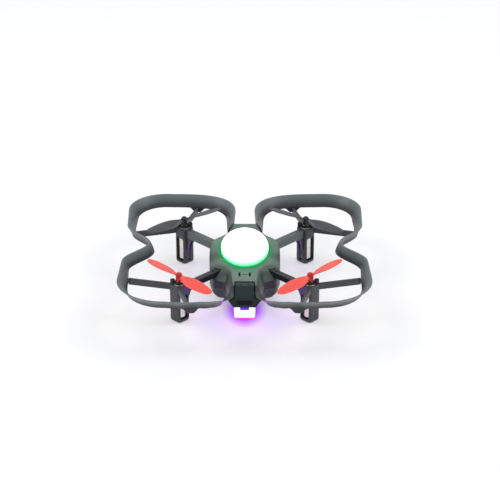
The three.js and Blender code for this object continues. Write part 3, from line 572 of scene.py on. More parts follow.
def circuit_board(name):
    """Green solder mask with copper traces and pads."""
    n = Nodes(name)
    brick = n.add("ShaderNodeTexBrick", Vector=n.place, Scale=340.0)
    brick.inputs["Color1"].default_value = (0.010, 0.085, 0.035, 1)
    brick.inputs["Color2"].default_value = (0.013, 0.105, 0.045, 1)
    brick.inputs["Mortar"].default_value = (0.06, 0.17, 0.06, 1)
    pads = n.grey_ramp(n.noise(520, 1.0), [(0.62, 0.0), (0.66, 1.0)])
    n.shader_set(Base_Color=n.mix(pads, brick.outputs["Color"], (0.55, 0.50, 0.36)))
    n.shader_set(Roughness=n.uneven(90, 3.0, 0.28, 0.45))
    n.bump(brick.outputs["Fac"], 0.00003, 0.4)
    return n.material


# Place and reach of the nose light's violet pool painted on the floor.
POOL_Y = -27
POOL_REACH = (13.5, 21)


def floor_material():
    """A pale sweep that glows a little, like a light table, with the nose light's violet pool painted on it
    as colour and glow.
    """
    n = Nodes("studio_floor")
    factors = (1 / (POOL_REACH[0] * MM), 1 / (POOL_REACH[1] * MM), 1)
    away = n.length(n.scaled(n.place, factors, (0, -POOL_Y / POOL_REACH[1], 0)))
    violet = n.ramp(away, [(0.0, (0.46, 0.02, 1.0)), (0.5, (0.50, 0.06, 1.0)),
                           (0.8, (0.86, 0.70, 1.0)), (1.0, (1.0, 1.0, 1.0))])
    pale = n.ramp(n.noise(3.0, 3.0), [(0.3, (0.60, 0.60, 0.603)), (0.7, (0.61, 0.61, 0.61))])
    n.shader_set(Base_Color=n.mix(1.0, pale, violet, "MULTIPLY"), Specular_IOR_Level=0.2)
    n.shader_set(Roughness=n.uneven(40, 4.0, 0.42, 0.55))
    n.shader_set(Emission_Color=violet, Emission_Strength=0.36)
    n.bump(n.noise(900, 2.0), 0.00002, 0.2)
    return n.material


GUARD_BAND = (GUARD_HIGH[2] - 6.5, GUARD_HIGH[2])
# Painted shade on the guard bands: darker towards the lower edge, with a little painted highlight at the
# top.
GUARD_LEVELS = [(0.0, 0.16), (0.35, 0.34), (0.75, 0.86), (1.0, 1.06)]
GUARD_SHADE = shaded_by_height(*GUARD_BAND, GUARD_LEVELS)
# Painted shade on the rear rails: darker on faces that look down.
RAIL_SHADE = painted_shade_by_facing(0.4, 0.9, 0.95)
VISOR_STRIP = (-37.2, -35.2, (0.045, 0.062, 0.064))
DOME_GLOW = (29.8, 35.2)
LENS_SIDES = (LENS_HIGH[0], 1.2, (0.24, 0.02, 1.0))
DOME_STOPS = [(0.0, (0.0, 0.22, 0.05)), (0.10, (0.02, 0.42, 0.12)), (0.24, (0.16, 0.56, 0.32)),
              (0.62, (0.42, 0.60, 0.50)), (1.0, (0.62, 0.62, 0.62))]
LENS_STOPS = [(0.0, (0.50, 0.02, 1.0)), (0.10, (0.66, 0.08, 1.0)), (0.18, (0.93, 0.84, 1.0)),
              (0.9, (0.97, 0.93, 1.0))]
NOTCH_STOPS = [(0.0, (0.16, 0.01, 0.70)), (1.0, (0.10, 0.005, 0.45))]
LENS_GLOW = (LENS_LOW[2], LENS_HIGH[2])
LOOKS = {
    "shell": moulded_plastic("shell_plastic", (0.066, 0.084, 0.074), 0.42, painted_light=SIDE_SHADE),
    "deck": moulded_plastic("deck_plastic", (0.092, 0.118, 0.108), 0.42, painted_light=lit_by_dome),
    "guard": moulded_plastic("guard_plastic", (0.116, 0.136, 0.136), 0.40, painted_light=GUARD_SHADE),
    "arm": moulded_plastic("arm_plastic", (0.040, 0.043, 0.050), 0.40),
    "rear_rail": moulded_plastic("rear_rail_plastic", (0.100, 0.122, 0.118), 0.40, painted_light=RAIL_SHADE),
    "front_rail": moulded_plastic("front_rail_plastic", (0.008, 0.009, 0.011), 0.40),
    "black": moulded_plastic("black_plastic", (0.006, 0.006, 0.007), 0.38, 0.3),
    "red": translucent_plastic("coral_propeller", (0.88, 0.075, 0.055), 0.33, 0.04),
    "red_hub": translucent_plastic("red_hub", (0.56, 0.001, 0.010), 0.45, 0.05),
    "smoke": translucent_plastic("smoke_propeller", (0.048, 0.050, 0.053), 0.34, 0.16, 0.05),
    "black_hub": translucent_plastic("black_hub", (0.006, 0.006, 0.007), 0.34, 0.3, 0.02),
    "visor": gloss_black("gloss_visor", (0.014, 0.024, 0.027), 0.3, VISOR_STRIP),
    "window": gloss_black("dark_window", (0.001, 0.001, 0.002), 0.06),
    "motor": turned_metal("motor_can", (0.80, 0.76, 0.70)),
    "steel": turned_metal("bright_steel", (0.52, 0.53, 0.55), 0.26),
    "board": circuit_board("circuit_board"),
    "reflector": moulded_plastic("white_reflector", (0.80, 0.80, 0.78), 0.5, 0.05),
    "battery": moulded_plastic("battery_sleeve", (0.022, 0.025, 0.032), 0.34, 0.2),
    # The leads' violet tint is painted violet light from the nose lamp over a dark sleeve.
    "lead": moulded_plastic("lead_sleeve_painted_violet_light", (0.030, 0.012, 0.060), 0.45, 0.15),
    "dome": lit_lens("lit_dome", DOME_STOPS, *DOME_GLOW, 1.8, (0.95, 1.0, 0.97), slope=(2.0, 0.33)),
    "lens": lit_lens("lit_nose", LENS_STOPS, *LENS_GLOW, 1.05, (0.92, 0.86, 1.0), LENS_SIDES),
    "lens_notch": lit_lens("violet_notch", NOTCH_STOPS, *LENS_GLOW, 1.0, (0.4, 0.3, 0.8)),
}

# ---- body shells

# Place along Y, deck height, deck half-width, shoulder across and up, wall top across and up, belly
# height, the rounding of the deck edge, the shoulder and the wall top, and the belly's chamfer across
# and up.
BODY = [
    (28.8, 29.8, 6.9, 10.4, 23.8, 12.0, 22.6, 6.0, 0.5, 0.6, 1.0, 2.6, 2.6),
    (20.0, 29.8, 6.9, 10.4, 24.0, 12.0, 22.7, 6.0, 0.5, 0.6, 1.0, 2.6, 2.6),
    (17.6, 29.8, 7.1, 10.4, 24.6, 12.0, 23.2, 6.0, 0.6, 0.8, 1.0, 2.6, 2.6),
    (15.6, 29.8, 9.6, 11.4, 28.2, 12.6, 26.3, 6.0, 0.9, 1.0, 1.2, 2.6, 2.6),
    (11.0, 29.8, 13.9, 15.3, 28.9, 16.1, 27.3, 6.0, 1.0, 1.1, 1.4, 2.6, 2.6),
    (6.6, 29.8, 17.8, 19.1, 28.9, 19.7, 27.4, 6.0, 1.1, 1.2, 1.6, 2.6, 2.6),
    (2.0, 29.7, 18.7, 20.1, 28.8, 20.6, 27.0, 6.0, 1.4, 1.4, 2.0, 2.6, 2.6),
    (-4.0, 28.0, 18.0, 20.1, 26.9, 20.95, 24.6, 6.0, 2.4, 2.0, 2.4, 2.6, 2.6),
    (-9.0, 26.2, 13.6, 17.2, 24.2, 20.9, 21.4, 6.0, 3.0, 3.0, 2.6, 2.6, 2.6),
    (-14.0, 24.5, 9.9, 15.0, 22.9, 20.2, 20.8, 6.0, 2.6, 2.4, 2.0, 2.6, 2.6),
    (-18.0, 23.4, 8.4, 12.4, 21.2, 19.4, 18.8, 6.0, 2.2, 2.6, 1.8, 2.4, 2.4),
    (-22.0, 23.1, 7.8, 10.9, 18.7, 18.0, 17.1, 6.0, 1.8, 3.0, 1.5, 2.4, 2.4),
    (-24.4, 23.1, 7.5, 10.7, 18.3, 12.4, 16.9, 6.1, 1.5, 2.2, 1.2, 3.4, 2.4),
    (-28.0, 23.1, 7.3, 10.5, 18.0, 11.4, 16.9, 6.4, 1.2, 1.4, 1.0, 4.9, 2.8),
    (-34.4, 23.2, 7.0, 9.7, 18.0, 10.0, 17.0, 7.2, 0.7, 0.8, 0.6, 3.8, 5.2),
    (-38.0, 22.5, 6.6, 8.5, 18.8, 8.7, 17.2, 8.5, 0.6, 0.6, 0.5, 2.7, 4.4),
]
BELLY_ROUND = 1.6
EDGE_STEPS = 5
END_SOFT = 0.7
INNER_ROWS = 60


def body_sections(inset, places):
    """Half outlines of the top skin and of the bottom skin at each place along the body."""
    tops, bottoms = [], []
    for row in smooth_table(BODY, places):
        deck, flat, sx, sz, wx, wz, belly, r_deck, r_shoulder, r_wall, cut_x, cut_z = row
        wall = wx - inset
        top_foot, bottom_rim = PARTING + PARTING_LINE / 2, PARTING - PARTING_LINE / 2
        top = [(0, deck - inset), (flat * 0.5, deck - inset), (flat - inset * 0.6, deck - inset),
               (sx - inset, sz - inset * 0.5), (wall, wz - inset * 0.5),
               (wall, (wz + PARTING) / 2), (wall, top_foot)]
        tops.append(rounded(top, [0, 0, r_deck, r_shoulder, r_wall, 0, 0], EDGE_STEPS))
        low = belly + inset
        wall_low = belly + cut_z
        bottom = [(0, low), ((wx - cut_x) * 0.5, low), (wall - cut_x, low), (wall, wall_low),
                  (wall, (wall_low + bottom_rim) / 2), (wall, bottom_rim)]
        bottoms.append(rounded(bottom, [0, 0, BELLY_ROUND, BELLY_ROUND, 0, 0], EDGE_STEPS))
    return tops, bottoms


def end_rounded_places(step):
    """Places from rear to front with closer rows at both ends, and how far each row is drawn in."""
    rear, front = BODY[0][0], BODY[-1][0]
    angles = [math.radians(a) for a in (0, 22.5, 45, 67.5, 90)]
    turns = [(END_SOFT * math.cos(a), END_SOFT * math.sin(a)) for a in angles]
    first = [(rear - END_SOFT + out, END_SOFT - up) for out, up in turns]
    last = [(front + END_SOFT - out, END_SOFT - up) for out, up in reversed(turns)]
    between = np.linspace(rear - END_SOFT, front + END_SOFT, int((rear - front) / step))[1:-1]
    return first + [(y, 0.0) for y in between] + last


def drawn_in(point, draw):
    """An end row's point drawn in towards the middle and, on the top half, down from the deck."""
    x, z = point
    return max(x - draw, x * 0.5), z - draw if z > PARTING + 1 else z


def shell(name, which):
    """One half of the body as a closed skin with an inner face, still without its openings.
    The top half is 0 and the bottom half is 1."""
    outer_places = end_rounded_places(0.75)
    ys = [y for y, _ in outer_places]
    rows = []
    for (y, draw), half in zip(outer_places, body_sections(0.0, ys)[which]):
        rows.append((y, [drawn_in(point, draw) for point in half]))
    inner_ys = list(np.linspace(BODY[0][0] - WALL, BODY[-1][0] + WALL, INNER_ROWS))
    inner_rows = list(zip(inner_ys, body_sections(WALL, inner_ys)[which]))

    def full(half):
        return [(-x, z) for x, z in reversed(half[1:])] + list(half)

    outer = [[(x, y, z) for x, z in full(half)] for y, half in rows]
    inner = [[(x, y, z) for x, z in full(half)] for y, half in inner_rows]
    count = len(outer[0])
    verts = [p for ring in outer + inner for p in ring]
    base = len(outer) * count
    faces = strip_faces(len(outer), count, False) + strip_faces(len(inner), count, False, base)
    for start in (0, (len(outer) - 1) * count, base, base + (len(inner) - 1) * count):
        faces.append(tuple(range(start, start + count)))
    rims = []
    for start, rings in ((0, len(outer)), (base, len(inner))):
        rim = [start + r * count for r in range(rings)]
        rims.append(rim + [start + r * count + count - 1 for r in reversed(range(rings))])
    return skin_with_rims(name, verts, faces, rims)


def skin_with_rims(name, verts, faces, rims):
    """A mesh object with the flat band between an outer and an inner rim closed."""
    bm = bmesh.new()
    points = [bm.verts.new([c * MM for c in v]) for v in verts]
    for face in faces:
        bm.faces.new([points[i] for i in face])
    edges = []
    for rim in rims:
        for i, a in enumerate(rim):
            b = rim[(i + 1) % len(rim)]
            edge = bm.edges.get((points[a], points[b])) or bm.edges.new((points[a], points[b]))
            edges.append(edge)
    bmesh.ops.triangle_fill(bm, use_beauty=True, use_dissolve=False, edges=edges)
    bmesh.ops.recalc_face_normals(bm, faces=bm.faces)
    mesh = bpy.data.meshes.new(name)
    bm.to_mesh(mesh)
    bm.free()
    return linked(name, mesh)


# Place of the lug along the diagonal, the arm's width and its top.
ARMS = {"front": (17.8, 3.8, 21.3), "rear": (15.8, 4.4, 22.4)}
ARM_LOW = 17.9
LUG_R = 2.4
SLOT_ROOM = 0.35


def along(sx, sy, u, v=0.0):
    """A plan place u along a corner's diagonal and v across it."""
    return (sx * DIAGONAL * (u - v), sy * DIAGONAL * (u + v))


def diagonal_box(name, sx, sy, us, half, zs):
    near, far = us
    corners = ((near, -half), (far, -half), (far, half), (near, half))
    return prism(name, [along(sx, sy, u, v) for u, v in corners], *zs)


def arm_slots():
    """The four slots that the arms and their lugs sit in."""
    slots = []
    for corner, sx, sy in CORNERS:
        lug, width, top = ARMS[corner.split("_")[0]]
        heights = (ARM_LOW - GAP, top + GAP)
        slots.append(diagonal_box("slot", sx, sy, (lug - 1, 30), width / 2 + SLOT_ROOM, heights))
        slots.append(cylinder("slot", LUG_R + GAP, *heights, along(sx, sy, lug)))
    return slots


LATCH_X, LATCH_HALF, LATCH_PLACES = 3, 0.55, (-28.4, -23.2)
TONGUE_HALF, TONGUE_PLACES, TONGUE_FLOOR = 1.6, (-26.3, -25.5), 22.85
NOSE_SLOT_HALF, NOSE_SLOT_REAR, NOSE_SLOT_LOW = 5.9, -34.5, 13.7
VENT_X, VENT_PLACES, VENT_HALF_LONG, VENT_HALF_WIDE = 13, (-4, 0, 4), 2, 0.6
FLOW_Y, FLOW_R = -18, 2.8
SENSOR_HALF, SENSOR_PLACES = 2.6, (-30.4, -27.6)
SCREW_HOLE_R = 1.7
BELLY_CUT = (0, 9)


def rear_opening(node):
    """A cut through the rear wall round a CAD node's box."""
    low, high = span(node)
    return box("opening", (low[0] - GAP, high[0] + GAP), (25, 40), (low[2] - GAP, high[2] + GAP))


def top_shell():
    obj = shell("top_shell_skin", 0)
    slots = []
    for side in (-1, 1):
        across = (side * LATCH_X - LATCH_HALF, side * LATCH_X + LATCH_HALF)
        slots.append(box("slot", across, LATCH_PLACES, (20, 26)))
    slots.append(box("slot", (-TONGUE_HALF, TONGUE_HALF), TONGUE_PLACES, (TONGUE_FLOOR, 26)))
    nose_across = (-NOSE_SLOT_HALF, NOSE_SLOT_HALF)
    nose = box("slot", nose_across, (-60, NOSE_SLOT_REAR), (NOSE_SLOT_LOW, 60))
    dome_hole = cylinder("slot", DOME_R + GAP, 20, 50, (0, DOME_Y), 96)
    openings = [rear_opening(node) for node in ("battery_grip", "usb_port", "power_button")]
    cut(obj, [dome_hole, nose, *slots, *arm_slots(), *openings])
    bevel(obj, SHELL_SOFT)
    return finish_piece(shade(obj), "deck", "top_shell")


def bottom_shell():
    obj = shell("bottom_shell_skin", 1)
    tools = [rear_opening("battery_grip"), cylinder("slot", FLOW_R, *BELLY_CUT, (0, FLOW_Y))]
    tools.append(box("slot", (-SENSOR_HALF, SENSOR_HALF), SENSOR_PLACES, BELLY_CUT))
    for x in (-VENT_X, VENT_X):
        for y in VENT_PLACES:
            across = (x - VENT_HALF_LONG, x + VENT_HALF_LONG)
            tools.append(box("slot", across, (y - VENT_HALF_WIDE, y + VENT_HALF_WIDE), BELLY_CUT))
    for corner, sx, sy in CORNERS:
        lug, _, _ = ARMS[corner.split("_")[0]]
        tools.append(cylinder("slot", SCREW_HOLE_R, *BELLY_CUT, along(sx, sy, lug), 32))
    cut(obj, tools)
    bevel(obj, SHELL_SOFT)
    return finish_piece(shade(obj), "shell", "bottom_shell")


top_shell()
bottom_shell()

# ---- guards

RIBBON, GUARD_SIDE, GUARD_POST = 1.25, 69.6, 8.5
GUARD_BOTTOM, GUARD_TOP = GUARD_BAND
REAR_ROOT, REAR_END, REAR_CORNER, REAR_ROUND = 29.1, 69.76, 49.6, 20.0
FRONT_ROOT, FRONT_ROOT_X, FRONT_END, FRONT_CORNER, FRONT_ROUND = -38.3, 7.3, -69.1, 44.8, 25.1
LOBE = (9.6, -51.0)
NOTCH_Y, NOTCH_DEPTH, NOTCH_REACH = 2.7, 13.9, 24.0
FLARE = {"notch": 1.8, "growth": 1.6, "flat": 5, "reach": 60, "root": 1.0, "root_reach": 13}
# Along the guard from its front root: how far its top comes down, and how tall its band is.
ROOT_DROP = ((0, 5, 11, 18, 24, 30, 38), (7.4, 9.2, 9.0, 6.3, 3.9, 1.7, 0))
ROOT_HEIGHT = ((0, 10, 18, 26, 34), (1.8, 1.9, 4.4, 5.8, 6.5))
TAB_PLACE = {"side": 30.9, "end": 29.7}
TAB_TOP, TAB_LOW_WIDTH, TAB_LOW = 9.8, 3.9, 20.3
TAB_ZONE, TAB_SEARCH = 60, 56


def guard_line():
    """The middle line of the left guard in plan, from its rear root round to its front root."""
    line = [(GUARD_POST, y) for y in (REAR_ROOT, 38.0)]
    line += bezier((GUARD_POST, 46), (GUARD_POST + 0.5, REAR_END + 2), (GUARD_POST + 25.5, REAR_END - 1),
                   (REAR_CORNER, REAR_END), 28)
    line += arc(REAR_CORNER, REAR_END - REAR_ROUND, REAR_ROUND, 90, 0, 22)
    for away in np.linspace(NOTCH_REACH, -NOTCH_REACH, 31):
        dip = NOTCH_DEPTH * 0.5 * (1 + math.cos(math.pi * away / NOTCH_REACH))
        line.append((GUARD_SIDE - dip, NOTCH_Y + away))
    line += arc(FRONT_CORNER, FRONT_END + FRONT_ROUND, GUARD_SIDE - FRONT_CORNER, 0, -90, 26)
    lobe_x, lobe_y = LOBE
    line += bezier(line[-1], (FRONT_CORNER - 17, FRONT_END - 1.8), (lobe_x + 4.4, FRONT_END - 2.2), LOBE, 28)
    line += bezier(LOBE, (lobe_x - 1.2, lobe_y + 5.5), (FRONT_ROOT_X, FRONT_ROOT - 4.2),
                   (FRONT_ROOT_X, FRONT_ROOT), 10)
    return resample(line, 1.1)


def guard_flare(y, from_front):
    """Half of how far the band leans out: least at the notch and at the front root."""
    share = min(max((abs(y - NOTCH_Y) - FLARE["flat"]) / FLARE["reach"], 0), 1)
    full = FLARE["notch"] + FLARE["growth"] * share * share * (3 - 2 * share)
    return FLARE["root"] + (full - FLARE["root"]) * min(from_front / FLARE["root_reach"], 1)


def tab_depth(x, y):
    """How far the band's lower edge hangs down at this place along the line."""
    if abs(y) > TAB_ZONE:
        away = abs(x - TAB_PLACE["end"])
    elif x > TAB_ZONE:
        away = abs(abs(y) - TAB_PLACE["side"])
    else:
        return 0.0
    share = (TAB_TOP / 2 - away) / ((TAB_TOP - TAB_LOW_WIDTH) / 2)
    return (GUARD_BOTTOM - TAB_LOW) * min(max(share, 0.0), 1.0)


def guard_stations():
    """Along one guard: place, outward direction, half lean, and the band's lower and upper edge."""
    line = guard_line()
    step = math.dist(line[0], line[1])
    stations = []
    for i, (x, y) in enumerate(line):
        before, after = line[max(i - 1, 0)], line[min(i + 1, len(line) - 1)]
        way = Vector((after[0] - before[0], after[1] - before[1])).normalized()
        from_front = (len(line) - 1 - i) * step
        top = GUARD_TOP - float(np.interp(from_front, *ROOT_DROP))
        low = top - float(np.interp(from_front, *ROOT_HEIGHT))
        stations.append(((x, y), (-way[1], way[0]), guard_flare(y, from_front), low, top))
    return stations


STATIONS = guard_stations()


def tab_foot(on_end, sy):
    """Where a spoke meets the lower inner edge of the guard's tab."""
    def miss(station):
        (x, y), _, _, _, _ = station
        off = abs(x - TAB_PLACE["end"]) if on_end else abs(y - sy * TAB_PLACE["side"])
        beyond = (y * sy if on_end else x) > TAB_SEARCH
        return off if beyond else math.inf
    (x, y), out, flare, _, _ = min(STATIONS, key=miss)
    return (x - out[0] * (flare + GAP), y - out[1] * (flare + GAP))


FOOT_RISE = 0.2


def band_section(flare, low, top, hang):
    """The band's outline: steep at its foot and leaning out more and more towards its top."""
    def lean(share):
        return (2 * flare - RIBBON) * (0.5 * share + 0.5 * share * share)

    rise = [0.75, 0.5, 0.25, 0.0]
    heights = {share: low + FOOT_RISE + (top - low - FOOT_RISE) * share for share in rise}
    outer = [(RIBBON - flare + lean(share), heights[share]) for share in rise]
    inner = [(lean(share) - flare, heights[share]) for share in reversed(rise)]
    head, foot = [(flare - RIBBON, top), (flare, top)], [(RIBBON - flare, low - hang), (-flare, low - hang)]
    soft = min(0.28, (top - low) * 0.12)
    plain = [0] * len(rise)
    return rounded([*head, *outer, *foot, *inner], [soft, soft, *plain, soft, soft, *plain], 3)


def guard(name, side):
    rings = []
    for (x, y), out, flare, low, top in STATIONS:
        section = band_section(flare, low, top, tab_depth(x, y))
        rings.append([(x + out[0] * o, y + out[1] * o, z) for o, z in section])
    obj = loft(name, rings)
    if side < 0:
        moved(obj, Matrix.Diagonal((-1, 1, 1, 1)))
    return shade(obj, 50)


for which, side in (("left", 1), ("right", -1)):
    finish_piece(guard(f"guard_{which}_band", side), "guard", f"guard_{which}")

# ---- motor arms

POD_SIDE, POD_CORNER, POD_HEIGHT, POD_FLOOR, POD_BORE = 8.6, 2.0, 23.3, 1.2, 3.8
WINDOW_HALF, WINDOW_LOW, WINDOW_TOP, WINDOW_ROUND = 3.1, 1.9, 17.1, 1.0
SPOKE_LOW, SPOKE_TOP, SPOKE_THICK, SPOKE_INSET, SPOKE_ASIDE, SPOKE_SOFT = 19.6, 23.5, 1.5, 1.2, 0.2, 0.35
ARM_WALL, ARM_PLATE, ARM_OVERLAP = 1, 0.7, 0.4
RAIL_ROOT, PLATE_ROOT = 1.2, 3.6
PIN_R, PIN_DEEP, PIN_OUTER, PIN_INNER = 0.6, 0.5, -5.6, 8.4
SLIT_PLACES, SLIT_HALF, SLIT_DEEP = (-8.8, -7.2), 0.35, 0.4
LEAD_SLOT_HALF, LEAD_SLOT_END, LEAD_SLOT_RISE = 0.9, -1, 0.6
# Distance outward from the pod's inner face, and height.
GUSSET = [(0, 8), (0, ARM_LOW + 0.5), (-5.2, ARM_LOW + 0.5), (-5.2, ARM_LOW), (-3.2, 16.4), (-1.8, 13.4),
          (-0.9, 10.2)]
# Height, and how far the pod's walls are drawn in there.
POD_DRAW = [(0, 0.9), (0.12, 0.55), (0.4, 0.25), (0.9, 0.05), (1.6, 0), (POD_HEIGHT - 0.5, 0),
            (POD_HEIGHT - 0.15, 0.12), (POD_HEIGHT, 0.4)]


def pod_outer():
    """The pod's outer form: upright walls that draw in a little at the foot and at the top."""
    rings = []
    for z, draw in POD_DRAW:
        half = POD_SIDE / 2 - draw
        rings.append([(x, y, z) for x, y in rounded_box(half, -half, half, POD_CORNER, 8)])
    return loft("pod", rings)


def spoke(start, end):
    """A flat bar on edge between two plan places."""
    way = (Vector(end) - Vector(start)).normalized()
    nx, ny = -way[1] * SPOKE_THICK / 2, way[0] * SPOKE_THICK / 2
    section = rounded_box(1, SPOKE_LOW, SPOKE_TOP, SPOKE_SOFT, 3)
    return loft("spoke", [[(x + nx * s, y + ny * s, z) for s, z in section] for x, y in (start, end)])


def side_plate(name, outline, y0, y1):
    """An outline in the X-Z plane given thickness along Y."""
    return loft(name, [[(x, y, z) for x, z in outline] for y in (y0, y1)])


def gusset(inward, y0, y1):
    """The hollow-edged rib between the arm's underside and the pod's inner face."""
    return side_plate("gusset", [(inward + out, z) for out, z in GUSSET], y0, y1)


def hollow_pod():
    """The pod with its bore and its window, standing at the origin with the arm towards -X."""
    pod = pod_outer()
    window = rounded_box(WINDOW_HALF, WINDOW_LOW, WINDOW_TOP, WINDOW_ROUND, 5)
    return cut(pod, [cylinder("bore", POD_BORE, POD_FLOOR, 40), side_plate("window", window, -10, 10)])


def arm_beam(root, inward, half, top):
    """The arm's two rails with their gussets, its top plate and its lug."""
    pieces = []
    for side in (-1, 1):
        y0, y1 = sorted((side * half, side * (half - ARM_WALL)))
        rail_root = root + RAIL_ROOT
        rail = [(rail_root, ARM_LOW), (inward, ARM_LOW), (inward, top), (rail_root, top)]
        pieces += [side_plate("rail", rail, y0, y1), gusset(inward, y0, y1)]
    pieces.append(box("plate", (root + PLATE_ROOT, inward), (-half, half), (top - ARM_PLATE, top)))
    pieces.append(cylinder("lug", LUG_R, ARM_LOW, top - 2, (root, 0)))
    return pieces


def arm_marks(root, top):
    """The lead's slot in the pod, two moulding pins and a slit in the arm's top, and the motor's bore."""
    tools = [box("slot", (-POD_SIDE, LEAD_SLOT_END), (-LEAD_SLOT_HALF, LEAD_SLOT_HALF),
                 (POD_FLOOR + LEAD_SLOT_RISE, top - ARM_PLATE))]
    for x in (PIN_OUTER, root + PIN_INNER):
        tools.append(cylinder("pin", PIN_R, top - PIN_DEEP, top + 1, (x, 0), 24))
    tools.append(box("slit", SLIT_PLACES, (-SLIT_HALF, SLIT_HALF), (top - SLIT_DEEP, top + 1)))
    tools.append(cylinder("bore", POD_BORE, POD_FLOOR, 40))
    return tools


def motor_arm(end):
    """A front or rear arm of the left side, with its pod and its two spokes."""
    lug, width, top = ARMS[end]
    sy = 1 if end == "rear" else -1
    root = lug - math.sqrt(2) * MOTOR_OFFSET
    inward = -POD_SIDE / 2 + ARM_OVERLAP
    arm = join(hollow_pod(), arm_beam(root, inward, width / 2, top))
    cut(arm, arm_marks(root, top))
    bevel(arm, ARM_SOFT)
    turn = Matrix.Rotation(math.radians(45), 4, "Z")
    moved(arm, Matrix.Translation((MOTOR_OFFSET * MM, MOTOR_OFFSET * MM, 0)) @ turn)
    near = MOTOR_OFFSET + POD_SIDE * DIAGONAL - SPOKE_INSET
    beside = MOTOR_OFFSET - SPOKE_ASIDE
    feet = [(x, abs(y)) for x, y in (tab_foot(False, sy), tab_foot(True, sy))]
    join(arm, [spoke((near, beside), feet[0]), spoke((beside, near), feet[1])])
    cut(arm, [cylinder("bore", POD_BORE, POD_FLOOR, 40, (MOTOR_OFFSET, MOTOR_OFFSET))])
    return shade(arm)


RAIL_END = MOTOR_OFFSET - POD_SIDE / 2 * DIAGONAL


def on_rail(p):
    """Whether a place is on the arm between the body and the pod, and not on the pod or a gusset."""
    return abs(p[0]) + abs(p[1]) < 2 * RAIL_END - 1.5 and p[2] > ARM_LOW - 0.2


for corner, sx, sy in CORNERS:
    end = corner.split("_")[0]
    arm = moved(motor_arm(end), Matrix.Diagonal((sx, sy, 1, 1)))
    finish_piece(arm, "arm", f"motor_arm_{corner}")
    paint(arm, f"{end}_rail", on_rail)

# ---- motors, clips and shafts

SHAFT_R, SHAFT_SOFT = 0.5, 0.1
CLIP_RING, CLIP_BAR, CLIP_EAR, CLIP_EAR_PLACE, CLIP_HOLE, CLIP_THICK = 2.5, 0.8, 1.4, 3.7, 1.9, 1
BOSS_R, SHAFT_HOLE_R, SHAFT_HOLE_DEEP = 1.6, 0.8, 6


def motor_can(name, centre):
    """A closed can with soft edges, a raised boss on its top and the shaft's hole down through it."""
    soft, middle, lip = 0.35, 0.1, 0.12
    profile = [
        (0, CAN_BOTTOM), (MOTOR_R - soft, CAN_BOTTOM), (MOTOR_R - middle, CAN_BOTTOM + middle),
        (MOTOR_R, CAN_BOTTOM + soft), (MOTOR_R, CAN_TOP - soft), (MOTOR_R - middle, CAN_TOP - middle),
        (MOTOR_R - soft, CAN_TOP), (BOSS_R + 0.15, CAN_TOP), (BOSS_R, CAN_TOP + lip),
        (BOSS_R, BOSS_TOP - lip), (BOSS_R - lip, BOSS_TOP), (SHAFT_HOLE_R, BOSS_TOP),
        (SHAFT_HOLE_R, BOSS_TOP - SHAFT_HOLE_DEEP), (0, BOSS_TOP - SHAFT_HOLE_DEEP)]
    return shade(lathe(name, profile, centre, 72))


def motor_clip(name, centre, low, top):
    """A ring on the motor's top with a bar across it and a round ear at each end."""
    cx, cy = centre
    ring = cylinder(name, CLIP_RING, low, low + CLIP_THICK, centre)
    bar = box("bar", (cx - CLIP_EAR_PLACE, cx + CLIP_EAR_PLACE), (cy - CLIP_BAR, cy + CLIP_BAR),
              (low, low + CLIP_THICK))
    ears = [cylinder("ear", CLIP_EAR, low, top, (cx + side * CLIP_EAR_PLACE, cy), 32) for side in (-1, 1)]
    join(ring, [bar, *ears])
    cut(ring, [cylinder("hole", CLIP_HOLE, 0, 40, centre)])
    bevel(ring, CLIP_SOFT)
    return shade(ring)


def motor_shaft(name, centre, low, top):
    thin = SHAFT_R - SHAFT_SOFT
    profile = [(0, low), (thin, low), (SHAFT_R, low + SHAFT_SOFT), (SHAFT_R, top - SHAFT_SOFT), (thin, top),
               (0, top)]
    return shade(lathe(name, profile, centre, 32))


for corner, sx, sy in CORNERS:
    centre = (sx * MOTOR_OFFSET, sy * MOTOR_OFFSET)
    finish_piece(motor_can(f"can_{corner}", centre), "motor", f"motor_can_{corner}")
    low, high = span(f"motor_clip_{corner}")
    clip = motor_clip(f"clip_{corner}", centre, low[2], high[2])
    finish_piece(clip, "black", f"motor_clip_{corner}")
    low, high = span(f"motor_shaft_{corner}")
    rod = motor_shaft(f"shaft_{corner}", centre, low[2], high[2])
    finish_piece(rod, "steel", f"motor_shaft_{corner}", f"rotor_{corner}")

# ---- propellers

PROP_Z, PROP_SINK = 28.2, 0.15
HUB_R, HUB_BORE, HUB_SOFT, HUB_CROWN, HUB_ROOF = 1.9, 0.8, 0.2, 1.4, 1.2
HUB_LOW, HUB_TOP = PROP_LOW[2], PROP_HIGH[2]
REST = {"front": 48.5, "rear": 141.4}
# Place along the blade, chord, pitch in degrees, thickness.
BLADE = [
    (0.6, 2.4, 26, 1.3), (3.0, 3.2, 24, 1.3), (6.0, 5.4, 19, 1.15), (10.0, 7.5, 15, 1.0),
    (15.0, 8.1, 12, 0.9), (20.0, 7.5, 9.5, 0.8), (24.0, 6.2, 8.5, 0.72), (26.5, 4.5, 8, 0.65),
    (27.7, 2.6, 7.5, 0.55), (28.15, 0.9, 7, 0.4),
]
BLADE_ROUND = 24


def blade_section(at, chord, pitch, thick):
    """One section of the blade: round at the front edge, thin at the rear edge and a little cambered."""
    tilt = math.radians(pitch)
    ring = []
    for k in range(BLADE_ROUND):
        turn = math.tau * k / BLADE_ROUND
        share = 0.5 * math.cos(turn)
        belly = 0.35 + 0.65 * (0.5 + share) ** 0.5
        half = 0.5 * math.sin(turn) * belly
        camber = 0.22 * (1 - 4 * share * share)
        across, up = share * chord, half * thick + camber * thick
        ring.append((at, across * math.cos(tilt) - up * math.sin(tilt),
                     PROP_Z + across * math.sin(tilt) + up * math.cos(tilt) - PROP_SINK))
    return ring


